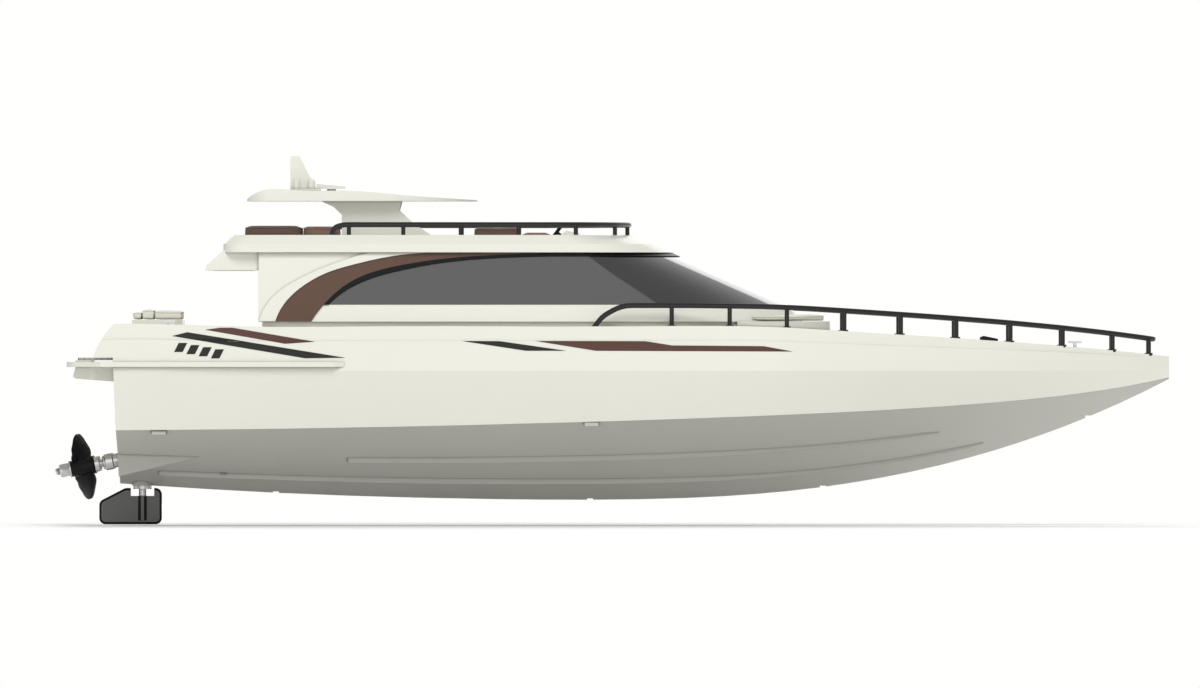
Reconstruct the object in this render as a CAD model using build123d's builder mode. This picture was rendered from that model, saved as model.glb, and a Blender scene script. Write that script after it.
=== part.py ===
"""A radio-controlled model motor yacht with twin propellers and one rudder.

The origin is under the middle of the boat, level with the bottom of the rudder. +X points to the bow,
+Y to port and +Z up, and everything is in millimetres. The boat is symmetrical, so most pieces are made
on one side and mirrored in the XZ plane.
"""

import os
from math import atan2, cos, hypot, pi, radians, sin, tan

from build123d import *

os.makedirs("parts", exist_ok=True)

# ---------------------------------------------------------------- driving dimensions
LENGTH = 447.6  # from the tips of the propeller shafts to the stem
BOW_X = LENGTH / 2
QUARTER_X = -207.8  # aft tips of the quarters, which overhang the transom
TRANSOM_X = -199.8
TRANSOM_RAKE = 2.3  # degrees, the transom leans aft towards the deck
WALL = 2.0  # thickness of the hull and cabin mouldings

WIDEST_X = 24.0  # station of the largest beam
KEEL_LOW_X = -15.0
KEEL_LOW_Z = 9.9
KNUCKLE_Z = 61.8
DECK_Z = 79.6
CHINE_HALF = 60.5  # largest half-breadths of the seam, the knuckle and the deck's edge
KNUCKLE_HALF = 65.0
GUNWALE_HALF = 61.2
LIP = 1.2  # how far the upper hull stands out over the lower one at the seam

PLATFORM_Z = 63.3  # underside of the swim platform
PLATFORM_AFT_X = -218.7
WELL_Z = 70.0  # floor of the cockpit
WELL_AFT_X = -196.5
WELL_FORE_X = -146.0

CABIN_AFT_X = -141.8
CABIN_FOOT_Z = 81.4
SILL_Z = 88.2  # lower edge of the windows
VISOR_Z = 109.2  # top of the cabin's walls
COAMING_Z = 116.2  # rim of the flybridge
SOLE_Z = 112.2  # floor of the flybridge
ROOF_Z = 129.8  # underside of the hardtop
MAST_Z = 148.0

SHAFT_Y = 20.0
SHAFT_ANGLE = 11.0  # degrees, the shafts slope down towards the stern
SHAFT_X, SHAFT_Z = -198.8, 25.9  # where the shafts' axes meet the transom
SHAFT_R = 1.5
TUBE_R = 2.8
RUNNING_FIT = 0.05

RUDDER_X = -189.0
SERVO_X = -145.6
TILLER_Z = 42.0  # underside of the two arms of the steering gear
TILLER_R = 10.0
PIN_R = 0.75

RAIL_R = 1.05
MAGNET_R = 2.5
MAGNET_Y = 47.5
MAGNET_XS = (-128.0, 8.0)

IVORY_GAP = 0.4  # clearance between the lift-off cabin and what stays on the deck
FAR = 300.0  # larger than the boat


def keep(piece, name):
    """Labels a finished piece and writes its STEP file."""
    piece.label = name
    export_step(piece, f"parts/{name}.step")


def brick(x_range, y_range, z_range):
    """A box given by its ranges along the three axes."""
    with BuildPart() as made:
        with Locations(tuple(sum(pair) / 2 for pair in (x_range, y_range, z_range))):
            Box(*(high - low for low, high in (x_range, y_range, z_range)))
    return made.part


def side_slab(points, y_range=(-FAR, FAR)):
    """A side view in X and Z, extruded across the boat."""
    with BuildPart() as made:
        with BuildSketch(Plane.XZ.offset(-y_range[1])):
            with BuildLine():
                Polyline(*points, close=True)
            make_face()
        extrude(amount=y_range[1] - y_range[0])
    return made.part


def both_sides(piece):
    """A piece and its mirror image on the other side of the boat."""
    with BuildPart() as made:
        add(piece)
        mirror(about=Plane.XZ)
    return made.part


# ---------------------------------------------------------------- lines of the hull
def transom_x(z):
    return TRANSOM_X + (KNUCKLE_Z - z) * tan(radians(TRANSOM_RAKE))


def keel_z(x):
    """Height of the keel: a slight rise to the transom and a long sweep up to the stem."""
    if x < KEEL_LOW_X:
        return KEEL_LOW_Z + 6.6 * ((KEEL_LOW_X - x) / (KEEL_LOW_X - TRANSOM_X)) ** 2
    return KEEL_LOW_Z + 48.5 * ((x - KEEL_LOW_X) / (BOW_X - KEEL_LOW_X)) ** 2.57


def chine_z(x):
    """Height of the seam between the lower and the upper hull."""
    u = max(0.0, (x - TRANSOM_X) / (BOW_X - TRANSOM_X))
    return 37.9 + 2.5 * u + 11.3 * u**2 + 7.3 * u**10


def deck_z(x):
    """Height of the deck's edge, which drops from the cabin's front to the stem."""
    v = max(0.0, (x - 60.0) / (BOW_X - 60.0))
    return DECK_Z - 9.8 * v - 2.3 * v**4


def half_breadth(x, widest, fullness):
    """Half the breadth along one line: nearly parallel aft, and a round entry to a blunt stem."""
    stem_half = 1.8
    if x > WIDEST_X:
        t = (x - WIDEST_X) / (BOW_X - WIDEST_X)
        return stem_half + (widest - stem_half) * (1 - t**fullness)
    s = (WIDEST_X - x) / (WIDEST_X - TRANSOM_X)
    return widest * (1 - 0.06 * s**2)


def chine_half(x):
    return half_breadth(x, CHINE_HALF, 1.95)


def knuckle_half(x):
    return half_breadth(x, KNUCKLE_HALF, 2.2)


def gunwale_half(x):
    return half_breadth(x, GUNWALE_HALF, 2.2)


def lower_outline(x):
    """Half of the V below the seam."""
    return [(0, keel_z(x)), (chine_half(x) - LIP, chine_z(x))]


def lower_cavity_outline(x):
    """The inside of the V, a wall's thickness above it, carried on above the seam so that it is open."""
    half, top, keel = chine_half(x) - LIP, chine_z(x), keel_z(x)
    slope = (top - keel) / half
    rise, over = WALL * hypot(1, slope), 3.0
    return [(0, keel + rise), (half + (over - rise) / slope, top + over)]


def upper_outline(x):
    """Half of the topsides: flare, knuckle, a crease, a fine step and the deck's edge."""
    low, high, wide, narrow = KNUCKLE_Z, deck_z(x), knuckle_half(x), gunwale_half(x)
    v = max(0.0, (x - WIDEST_X) / (BOW_X - WIDEST_X))
    relief = min(0.35, wide / 60)
    crease, step = 0.29 + 0.3 * v**3, 0.66 + 0.15 * v**3

    def side(part, proud):
        return wide + (narrow - wide) * part + proud, low + (high - low) * part

    return [(chine_half(x), chine_z(x)), (wide, low), side(crease, relief), side(step, relief),
            side(step + 0.035, -relief / 2), (narrow, high)]


def upper_cavity_outline(x):
    inset = 2.3
    return [(chine_half(x) - inset, chine_z(x) - 3), (knuckle_half(x) - inset, KNUCKLE_Z),
            (gunwale_half(x) - inset, deck_z(x) - WALL)]


def hull_form(outline, first, last, count=13):
    """A smooth body through cross-sections that stand closer together towards the bow."""
    with BuildPart() as made:
        for i in range(count):
            x = first + (last - first) * sin(pi / 2 * i / (count - 1))
            half = outline(x)
            with BuildSketch(Plane.YZ.offset(x)):
                with BuildLine():
                    Polyline(*half, *[(-y, z) for y, z in reversed(half) if y > 0], close=True)
                make_face()
        loft()
    return made.part


# ---------------------------------------------------------------- lower hull
STRAKE_W = 4.5


def strake(aft_x, fore_x, part_aft, part_fore):
    """A spray rail on the V: flat underneath, upright outside and tapering to nothing forward."""
    with BuildPart() as made:
        for i in range(9):
            f = i / 8
            x = aft_x + (fore_x - aft_x) * f
            width = STRAKE_W * (1 - 0.75 * f**3)
            (_, keel), (half, top) = lower_outline(x)
            slope = (top - keel) / half
            y = half * (part_aft + (part_fore - part_aft) * f**2)
            z = keel + slope * y
            with BuildSketch(Plane.YZ.offset(x)):
                with BuildLine():
                    Polyline((y - 0.6, z), (y + width, z), (y + width, z + slope * width + 0.5),
                             (y - 0.6, z + 0.7), close=True)
                make_face()
        loft()
    return both_sides(made.part)


POD_OUT_Y = 31.0
shaft_pods = both_sides(side_slab([(-205, 19.2), (-198, 19.4), (-164, 27.6), (-164, 34), (-205, 34)],
                                  (6.5, POD_OUT_Y)))


def along_shaft(distance, side=-1):
    """A plane square to a shaft, with its Z axis pointing aft. Side is -1 to starboard, 1 to port."""
    tilt = radians(SHAFT_ANGLE)
    aft = Vector(-cos(tilt), 0, -sin(tilt))
    return Plane(origin=Vector(SHAFT_X, side * SHAFT_Y, SHAFT_Z) + aft * distance, x_dir=(0, 1, 0), z_dir=aft)


def rod(plane, radius, length):
    with BuildPart() as made:
        with BuildSketch(plane):
            Circle(radius)
        extrude(amount=length)
    return made.part


TUBE_OUT, TUBE_IN = 6.0, -62.0  # ends of the stuffing tubes, aft of the transom and inside the hull
COLLAR = 0.5  # how far the tubes' outer bearing stands out
tube_bores = both_sides(rod(along_shaft(TUBE_IN), TUBE_R, TUBE_OUT + 4 - TUBE_IN))

TRANSOM_TOP_Z = PLATFORM_Z + 3.9
behind_transom = side_slab([(-FAR, -5), (transom_x(-5), -5), (transom_x(TRANSOM_TOP_Z), TRANSOM_TOP_Z),
                            (-FAR, TRANSOM_TOP_Z)])
lower_solid = hull_form(lower_outline, -206, BOW_X)
lower_cavity = hull_form(lower_cavity_outline, -196.2, 186)
KEEL_NOTCHES = (-135.4, -9.0, 84.6, 191.4)
CLIP_XS = (-181.6, -8.4)  # small lugs under the seam

with BuildPart() as lower_hull:
    add(lower_solid)
    add(strake(-182, 149, 0.2, 0.2))
    add(strake(-106, 131, 0.485, 0.55))
    add(shaft_pods)
    for x in CLIP_XS:
        for side in (-1, 1):
            with Locations((x, side * (chine_half(x) - 2.6), chine_z(x) - 1.0)):
                Box(5.6, 4.6, 1.6)
    with BuildSketch(Plane.XY.offset(15.6)):
        with Locations((RUDDER_X, 0)):
            Circle(4.2)
    extrude(amount=6)
    add(behind_transom, mode=Mode.SUBTRACT)
    add(lower_cavity, mode=Mode.SUBTRACT)
    add(tube_bores, mode=Mode.SUBTRACT)
    with Locations((RUDDER_X, 0, 20)):
        Cylinder(2.6, 20, mode=Mode.SUBTRACT)
    for x in KEEL_NOTCHES:
        with Locations((x, 0, keel_z(x))):
            Box(2.4, 12, 1.0, mode=Mode.SUBTRACT)
keep(lower_hull.part, "lower_hull")


# ---------------------------------------------------------------- upper hull and deck
def plan(z, rear, shoulder, nose, half, inset=0.0, corner=0.0):
    """A bullet-shaped outline seen from above: straight sides and an elliptical nose."""
    with BuildSketch(Plane.XY.offset(z)) as made:
        with BuildLine():
            bow = EllipticalCenterArc((shoulder, 0), nose - shoulder - inset, half - inset, start_angle=-90,
                                      arc_size=180)
            Polyline(bow @ 1, (rear + inset, half - inset), (rear + inset, inset - half), bow @ 0)
        make_face()
        if corner:
            fillet(made.vertices().group_by(Axis.X)[0], corner)
    return made.sketch


FOOT = dict(rear=CABIN_AFT_X, shoulder=17.0, nose=76.4, half=54.0)  # the cabin's outline on the deck


def prism(outline, height):
    with BuildPart() as made:
        add(outline)
        extrude(amount=height)
    return made.part


upper_solid = hull_form(upper_outline, -209, BOW_X)
upper_cavity = hull_form(upper_cavity_outline, -196.2, 206)
quarter_top_x = -198.0
with BuildPart() as behind_quarters:
    with BuildSketch(Plane.XZ.offset(-FAR)):
        with BuildLine():
            sweep_up = ThreePointArc((QUARTER_X, 67.2), (-203.8, 75.4), (quarter_top_x, 82))
            Polyline(sweep_up @ 1, (quarter_top_x, 90), (-FAR, 90), (-FAR, 60), (QUARTER_X, 60),
                     sweep_up @ 0)
        make_face()
    extrude(amount=2 * FAR)

with BuildPart() as upper_hull:
    add(upper_solid)
    add(behind_transom, mode=Mode.SUBTRACT)
    add(behind_quarters.part, mode=Mode.SUBTRACT)
    add(brick((-FAR, TRANSOM_X), (-53, 53), (60, 90)), mode=Mode.SUBTRACT)
    add(upper_cavity, mode=Mode.SUBTRACT)
    add(brick((-197, WELL_FORE_X + WALL), (-52, 52), (WELL_Z - WALL, DECK_Z - 1)))
    add(brick((WELL_AFT_X, WELL_FORE_X), (-50, 50), (WELL_Z, 90)), mode=Mode.SUBTRACT)
    add(prism(plan(70, **FOOT, inset=10, corner=6), 20), mode=Mode.SUBTRACT)
    for x in MAGNET_XS:
        for side in (-1, 1):
            with Locations((x, side * MAGNET_Y, DECK_Z)):
                Cylinder(MAGNET_R, 10, mode=Mode.SUBTRACT)
keep(upper_hull.part, "upper_hull")

with BuildPart() as hull_magnets:
    for x in MAGNET_XS:
        for side in (-1, 1):
            with Locations((x, side * MAGNET_Y, DECK_Z - WALL / 2)):
                Cylinder(MAGNET_R, WALL)
keep(hull_magnets.part, "hull_magnets")

with BuildPart() as deck_gasket:
    add(prism(plan(76, **FOOT, inset=1.5), CABIN_FOOT_Z - RUNNING_FIT - 76))
    add(prism(plan(75, **FOOT, inset=3.3), 10), mode=Mode.SUBTRACT)
    add(upper_solid, mode=Mode.SUBTRACT)
keep(deck_gasket.part, "deck_gasket")

# ---------------------------------------------------------------- swim platform and side wings
WING_TIP_X = -105.0
with BuildPart() as swim_platform:
    with BuildSketch(Plane.XY.offset(PLATFORM_Z)) as platform_plan:
        with BuildLine():
            Polyline((PLATFORM_AFT_X, -54), (-205, -63.4), (-112, -66.0), (WING_TIP_X, -62), (WING_TIP_X, 62),
                     (-112, 66.0), (-205, 63.4), (PLATFORM_AFT_X, 54), close=True)
        make_face()
        fillet(platform_plan.vertices().group_by(Axis.X)[0], 9)
    extrude(amount=2.0)
    add(brick((-215.1, -190), (-54, 54), (PLATFORM_Z + 2, PLATFORM_Z + 2.7)))
    add(upper_solid, mode=Mode.SUBTRACT)
    add(brick((transom_x(65), -100), (-60, 60), (60, 70)), mode=Mode.SUBTRACT)
keep(swim_platform.part, "swim_platform")

with BuildPart() as platform_pad:
    with BuildSketch(Plane.XY.offset(PLATFORM_Z + 2.7)) as pad_plan:
        with Locations((-207.2, 0)):
            RectangleRounded(14.0, 98, 2.5)
    extrude(amount=1.0)
keep(platform_pad.part, "platform_pad")

with BuildPart() as platform_bracket:
    add(side_slab([(-215.2, PLATFORM_Z), (-216.2, 59.4), (-215.4, 58.7), (transom_x(57.4), 57.4),
                   (transom_x(PLATFORM_Z), PLATFORM_Z)], (-44, 44)))
    add(brick((-212, -206), (-40, 40), (50, 61)), mode=Mode.SUBTRACT)
    for y in (-36, 0, 36):
        add(brick((-212, -206), (y - 1.5, y + 1.5), (58.6, 61.5)))
keep(platform_bracket.part, "platform_bracket")

# ---------------------------------------------------------------- rails
def bent_path(points):
    """A route of straight runs joined by the largest tangent arcs that fit."""
    points = [Vector(*p) for p in points]
    radii = []
    for before, here, after in zip(points, points[1:], points[2:]):
        turn = (here - before).get_angle(after - here)
        run = min((here - before).length, (after - here).length)
        radii.append(0.45 * run / tan(radians(turn) / 2))
    return FilletPolyline(*points, radius=radii)


def tube(points, radius):
    """A round bar along a route."""
    with BuildPart() as made:
        with BuildLine() as route:
            add(bent_path(points))
        with BuildSketch(Plane(origin=route.line @ 0, z_dir=route.line % 0)):
            Circle(radius)
        sweep()
    return made.part


RAIL_AFT_X, RAIL_BOW_X = 3.8, 219.0
POST_XS = (23.7, 46.9, 69.8, 92.8, 115.5, 137.8, 159.6, 180.7, 200.9, 215.6)


def rail_half(x):
    return gunwale_half(x) - 1.7


def rail_z(x):
    return deck_z(x) + 8.3 - 2.3 * (x / BOW_X) ** 4


with BuildPart() as bow_rail:
    bends = (RAIL_AFT_X, 34, 69, 102, 132, 159, 182, 201, 213)
    side_points = [(x, -rail_half(x), rail_z(x)) for x in bends]
    foot = [(-7.5, -rail_half(0), DECK_Z - 0.6), (-4, -rail_half(0), 83.6)]
    nose = (RAIL_BOW_X, 0, rail_z(RAIL_BOW_X))
    points = foot + side_points
    add(tube(points + [nose] + [(x, -y, z) for x, y, z in reversed(points)], RAIL_R))
    for x in POST_XS:
        for side in (-1, 1):
            with BuildSketch(Plane.XY.offset(deck_z(x) - 0.6)):
                with Locations((x, side * rail_half(x))):
                    Circle(0.9)
            extrude(amount=rail_z(x) - deck_z(x) + 0.2)
            with BuildSketch(Plane.XY.offset(deck_z(x) - 0.6)):
                with Locations((x, side * rail_half(x))):
                    Circle(1.6)
            extrude(amount=1.1)
    add(upper_solid, mode=Mode.SUBTRACT)
keep(bow_rail.part, "bow_rail")

# ---------------------------------------------------------------- foredeck, anchor hatch and cleats
def foredeck_pad(x_radius, y_radius, low, high, aft):
    """A crescent that hugs the front of the cabin."""
    with BuildPart() as made:
        with BuildSketch(Plane.XY.offset(low)):
            with Locations((30, 0)):
                Ellipse(x_radius, y_radius)
        extrude(amount=high - low)
        add(brick((-FAR, aft), (-FAR, FAR), (60, 100)), mode=Mode.SUBTRACT)
        add(prism(plan(60, **FOOT, inset=-IVORY_GAP), 40), mode=Mode.SUBTRACT)
    return made.part


with BuildPart() as sunpad_base:
    add(foredeck_pad(57.6, 50.0, 76.0, 81.6, 50))
    add(upper_solid, mode=Mode.SUBTRACT)
keep(sunpad_base.part, "sunpad_base")

foredeck_sunpad = foredeck_pad(55.0, 47.0, 81.9, 84.4, 49)
keep(foredeck_sunpad, "foredeck_sunpad")

with BuildPart() as anchor_hatch:
    add(side_slab([(147.8, 70), (147.8, 75.2), (149.2, 75.8), (155, 74.6), (155, 70)], (-5.5, 5.5)))
    add(upper_solid, mode=Mode.SUBTRACT)
keep(anchor_hatch.part, "anchor_hatch")

with BuildPart() as mooring_cleats:
    for x, y in ((-178.0, 54.5), (186.0, 11.5)):
        base = deck_z(x)
        for side in (-1, 1):
            with Locations((x, side * y, base + 1.0)):
                Box(1.0, 1.2, 2.0)
            with Locations((x, side * y, base + 2.0)):
                Box(5.0, 1.2, 0.8)
    add(upper_solid, mode=Mode.SUBTRACT)
keep(mooring_cleats.part, "mooring_cleats")

# ---------------------------------------------------------------- cockpit
with BuildPart() as cockpit_sofa:
    add(brick((-192.6, -172.4), (-38, 38), (WELL_Z, 82.2)))
    chamfer(cockpit_sofa.edges().filter_by(Axis.Z).group_by(Axis.X)[-1], 3)
keep(cockpit_sofa.part, "cockpit_sofa")

with BuildPart() as sofa_cushions:
    add(brick((-192.4, -188.9), (-36, 36), (82.4, 85.6)))
    add(brick((-188.6, -184.0), (-36, 36), (82.4, 86.6)))
    add(brick((-183.7, -172.8), (-36, 36), (82.4, 86.0)))
    fillet(sofa_cushions.edges().group_by(Axis.Z)[-1], 0.8)
keep(sofa_cushions.part, "sofa_cushions")

# ---------------------------------------------------------------- cabin
def cabin_form(grow=0.0):
    """The cabin's outer form, grown or shrunk in plan. The nose slopes back as the windscreen."""
    with BuildPart() as made:
        add(plan(CABIN_FOOT_Z, **FOOT, inset=-grow))
        add(plan(SILL_Z, CABIN_AFT_X, 17, 70.8, 52.5, inset=-grow))
        loft(ruled=True)
    with BuildPart() as upper:
        add(plan(SILL_Z, CABIN_AFT_X, 17, 70.8, 52.5, inset=-grow))
        add(plan(VISOR_Z, CABIN_AFT_X, -12, 23.4, 48.5, inset=-grow))
        loft(ruled=True)
    with BuildPart() as whole:
        add(made.part)
        add(upper.part)
    return whole.part


# side views of the arch's edges, from the glass outwards, each running from its foot up and forward
TRIM_LOW_Z, TRIM_TOP_Z = 107.7, VISOR_Z - 0.1
GLASS_CURVE = [(-113.8, SILL_Z), (-104, 95.6), (-85, 102.0), (-65, 105.5), (-45, 107.1),
               (-25, TRIM_LOW_Z)]
TRIM_CURVE = [(-120.6, 81.6), (-114.8, 89.2), (-105, 97.3), (-85, 104.0), (-65, 106.9), (-45, 108.2),
              (-25, TRIM_TOP_Z)]
BROWN_CURVE = [(-135.0, 81.6), (-131, 89.2), (-123, 96.4), (-114, 101.2), (-105, 104.0), (-90, 107.4),
               (-74, TRIM_TOP_Z)]
WHITE_CURVE = [(-141.6, 81.6), (-134.3, 93.0), (-127, 97.9), (-115, 103.5), (-105, 107.0),
               (-98, TRIM_TOP_Z)]


def arch_region(lower, upper, aft=()):
    """A side view between two of the arch's curves, closed by a line fore and by extra points aft."""
    with BuildPart() as made:
        with BuildSketch(Plane.XZ.offset(-FAR)):
            with BuildLine():
                below = Spline(*lower)
                above = Spline(*upper)
                Line(below @ 1, above @ 1)
                Polyline(below @ 0, *aft, above @ 0)
            make_face()
        extrude(amount=2 * FAR)
    return made.part


def window_region():
    """Everything inside the window's edge: the arch aft, the visor above and the sill below."""
    with BuildPart() as made:
        with BuildSketch(Plane.XZ.offset(-FAR)):
            with BuildLine():
                edge = Spline(*GLASS_CURVE)
                Polyline(edge @ 1, (FAR, TRIM_LOW_Z), (FAR, SILL_Z), edge @ 0)
            make_face()
        extrude(amount=2 * FAR)
    return made.part


def proud_skin(region, thickness):
    """The part of a thin skin on the cabin's walls that lies in a region."""
    with BuildPart() as made:
        add(cabin_form(thickness))
        add(cabin_solid, mode=Mode.SUBTRACT)
        add(region, mode=Mode.INTERSECT)
    return made.part


cabin_solid = cabin_form()
windows = window_region()
BOSS_R = 3.1
DOOR_Y, DOOR_Z = (-19.0, 19.0), (82.2, 101.2)
with BuildPart() as cabin_shell:
    add(cabin_solid)
    add(cabin_form(-WALL), mode=Mode.SUBTRACT)
    add(windows, mode=Mode.SUBTRACT)
    add(brick((CABIN_AFT_X - 1, CABIN_AFT_X + WALL + 1), DOOR_Y, DOOR_Z), mode=Mode.SUBTRACT)
    add(proud_skin(arch_region(BROWN_CURVE, WHITE_CURVE), 1.0))
    for x in MAGNET_XS:
        for side in (-1, 1):
            with Locations((x, side * MAGNET_Y, 83.0)):
                Cylinder(BOSS_R, 6.0)
            with Locations((x, side * (MAGNET_Y + 2.4), 84.0)):
                Box(2 * BOSS_R, 5.4, 4.0)
            with Locations((x, side * MAGNET_Y, DECK_Z + 0.8)):
                Cylinder(MAGNET_R, 3.2, mode=Mode.SUBTRACT)
keep(cabin_shell.part, "cabin_shell")

with BuildPart() as cabin_magnets:
    for x in MAGNET_XS:
        for side in (-1, 1):
            with Locations((x, side * MAGNET_Y, DECK_Z + 1.3)):
                Cylinder(MAGNET_R, 2.2)
keep(cabin_magnets.part, "cabin_magnets")

with BuildPart() as cabin_glass:
    add(cabin_solid)
    add(cabin_form(-1.2), mode=Mode.SUBTRACT)
    add(windows, mode=Mode.INTERSECT)
keep(cabin_glass.part, "cabin_glass")

with BuildPart() as window_trim:
    add(proud_skin(arch_region(GLASS_CURVE, TRIM_CURVE, aft=[(-117.6, 81.6)]), 0.6))
    add(proud_skin(brick((-25, FAR), (-FAR, FAR), (TRIM_LOW_Z, TRIM_TOP_Z)), 0.6))
    add(brick((-FAR, FAR), (-FAR, FAR), (SILL_Z, FAR)), mode=Mode.INTERSECT)
keep(window_trim.part, "window_trim")
keep(proud_skin(arch_region(TRIM_CURVE, BROWN_CURVE), 0.5), "arch_trim")

with BuildPart() as cabin_door:
    add(brick((CABIN_AFT_X + 0.4, CABIN_AFT_X + WALL), DOOR_Y, DOOR_Z))
    for y in (-9, 9):
        add(brick((CABIN_AFT_X, CABIN_AFT_X + 0.9), (y - 7.6, y + 7.6), (84.0, 99.6)), mode=Mode.SUBTRACT)
keep(cabin_door.part, "cabin_door")

# ---------------------------------------------------------------- flybridge
RIM = dict(rear=-152.0, shoulder=-22.0, nose=8.0, half=47.5)
with BuildPart() as flybridge_skirt:
    add(plan(VISOR_Z, -156, -12, 24.6, 51.0, corner=8))
    add(plan(112.6, -156, -14, 18.2, 50.2, corner=8))
    loft(ruled=True)
with BuildPart() as flybridge_rim:
    add(plan(112.6, -156, -14, 18.2, 50.2, corner=8))
    add(plan(COAMING_Z, **RIM, corner=8))
    loft(ruled=True)
with BuildPart() as flybridge_deck:
    add(flybridge_skirt.part)
    add(flybridge_rim.part)
    add(prism(plan(SOLE_Z, **RIM, inset=2.5, corner=6), 10), mode=Mode.SUBTRACT)
    add(side_slab([(-163, 102), (-163, 103.6), (-155.4, 110.4), (CABIN_AFT_X - 0.1, 110.4),
                   (CABIN_AFT_X - 0.1, 102)], (-46.5, 46.5)))
    add(brick((-160.6, CABIN_AFT_X - 2.2), (-44.4, 44.4), (100, 107.2)), mode=Mode.SUBTRACT)
keep(flybridge_deck.part, "flybridge_deck")

FLY_RAIL_Z = 120.3
FLY_POST_XS = (-105.6, -83.8, -60.8, -37.6, -14.7, 1.0, 6.0)


def fly_rail_half(x):
    """Half-breadth of the line along the middle of the rim."""
    u = max(0.0, (x - RIM["shoulder"]) / (RIM["nose"] - 1.2 - RIM["shoulder"]))
    return (RIM["half"] - 1.25) * (1 - min(u, 1.0) ** 2) ** 0.5


with BuildPart() as flybridge_rail:
    half = fly_rail_half(RIM["shoulder"])
    side_points = [(-112.4, -half, COAMING_Z), (-111.4, -half, 119.2), (-108, -half, FLY_RAIL_Z),
                   (-19, -half, FLY_RAIL_Z)]
    nose_points = [(RIM["shoulder"] + 29.4 * cos(radians(a)), 46.9 * sin(radians(a)), FLY_RAIL_Z)
                   for a in (-62, -38, -13, 13, 38, 62)]
    add(tube(side_points + nose_points + [(x, -y, z) for x, y, z in reversed(side_points)], RAIL_R))
    for x in FLY_POST_XS:
        for side in (-1, 1):
            with BuildSketch(Plane.XY.offset(COAMING_Z)):
                with Locations((x, side * fly_rail_half(x))):
                    Circle(0.85)
            extrude(amount=FLY_RAIL_Z - COAMING_Z)
    add(flybridge_deck.part, mode=Mode.SUBTRACT)
keep(flybridge_rail.part, "flybridge_rail")

PYLON_Y = (23.0, 31.0)
with BuildPart() as flybridge_sunpad:
    add(brick((-147.6, -124.6), (-42, 42), (SOLE_Z + 0.2, 119.9)))
    add(brick((-124.0, -109.4), (-42, 42), (SOLE_Z + 0.2, 119.6)))
    fillet(flybridge_sunpad.edges().filter_by(Axis.Z), 2.0)
keep(flybridge_sunpad.part, "flybridge_sunpad")

with BuildPart() as helm_seat:
    add(side_slab([(-54.6, SOLE_Z + 0.2), (-55.8, 116.4), (-50.8, 119.4), (-36.6, 119.4), (-36.0, 117.3),
                   (-25.0, 117.0), (-25.0, SOLE_Z + 0.2)], (-33, 33)))
keep(helm_seat.part, "helm_seat")

with BuildPart() as helm_console:
    add(side_slab([(-20.6, SOLE_Z), (-21.6, 115.6), (-18.6, 118.0), (-13.6, 117.2), (-11.0, SOLE_Z)],
                  (-26, 26)))
keep(helm_console.part, "helm_console")

wheel_plane = Plane(origin=(-22.4, -14, 117.4), x_dir=(0, 1, 0), z_dir=(-0.8, 0, 0.6))
with BuildPart() as steering_wheel:
    with BuildSketch(wheel_plane):
        Circle(3.4)
        Circle(2.7, mode=Mode.SUBTRACT)
        Rectangle(5.8, 0.7)
        with Locations((0, -1.4)):
            Rectangle(0.7, 2.8)
        Circle(0.9)
    extrude(amount=0.7, both=True)
    with BuildSketch(wheel_plane):
        Circle(0.6)
    extrude(amount=-4)
    add(helm_console.part, mode=Mode.SUBTRACT)
keep(steering_wheel.part, "steering_wheel")

with BuildPart() as hardtop_pylons:
    add(side_slab([(-116.8, ROOF_Z), (-112.0, 127.6), (-108.6, 124.4), (-108.6, SOLE_Z), (-70.4, SOLE_Z),
                   (-73.4, 116.6), (-80.8, 121.7), (-85.6, 126.2), (-84.6, ROOF_Z)], PYLON_Y))
    mirror(about=Plane.XZ)
keep(hardtop_pylons.part, "hardtop_pylons")

with BuildPart() as roof_profile:
    with BuildSketch(Plane.XZ.offset(-FAR)):
        with BuildLine():
            crown = Spline((-146.7, ROOF_Z + 0.6), (-142.2, 133.4), (-126, 134.1), (-108, 134.0),
                           (-84, 132.2), (-68, 131.1), (-54.2, ROOF_Z + 0.5))
            Polyline(crown @ 1, (-54.2, ROOF_Z), (-146.7, ROOF_Z), crown @ 0)
        make_face()
    extrude(amount=2 * FAR)
with BuildPart() as hardtop:
    add(prism(plan(ROOF_Z, -146.7, -92.0, -54.2, 38.0, corner=9), 8))
    add(roof_profile.part, mode=Mode.INTERSECT)
keep(hardtop.part, "hardtop")

with BuildPart() as mast:
    add(side_slab([(-129.5, 130.5), (-129.5, 147.4), (-128.9, MAST_Z), (-125.8, MAST_Z), (-122.6, 141.5),
                   (-119.0, 134.8), (-119.0, 130.5)], (-1.4, 1.4)))
    add(brick((-129.6, -117.2), (-9, 9), (133.0, 134.9)))
    add(roof_profile.part, mode=Mode.SUBTRACT)
keep(mast.part, "mast")

with BuildPart() as mast_instruments:
    for x in (-127.1, -121.1):
        for side in (-1, 1):
            with Locations((x, side * 5.6, 136.2)):
                Cylinder(1.5, 2.6)
            with Locations((x, side * 5.6, 137.5)):
                Sphere(1.5)
    with Locations((-113.0, 0, 134.0)):
        Cylinder(1.8, 1.6)
    add(side_slab([(-119.0, 136.9), (-119.0, 135.0), (-107.4, 135.0), (-107.4, 135.8)], (-3.2, 3.2)))
    add(roof_profile.part, mode=Mode.SUBTRACT)
    add(mast.part, mode=Mode.SUBTRACT)
keep(mast_instruments.part, "mast_instruments")

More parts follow.
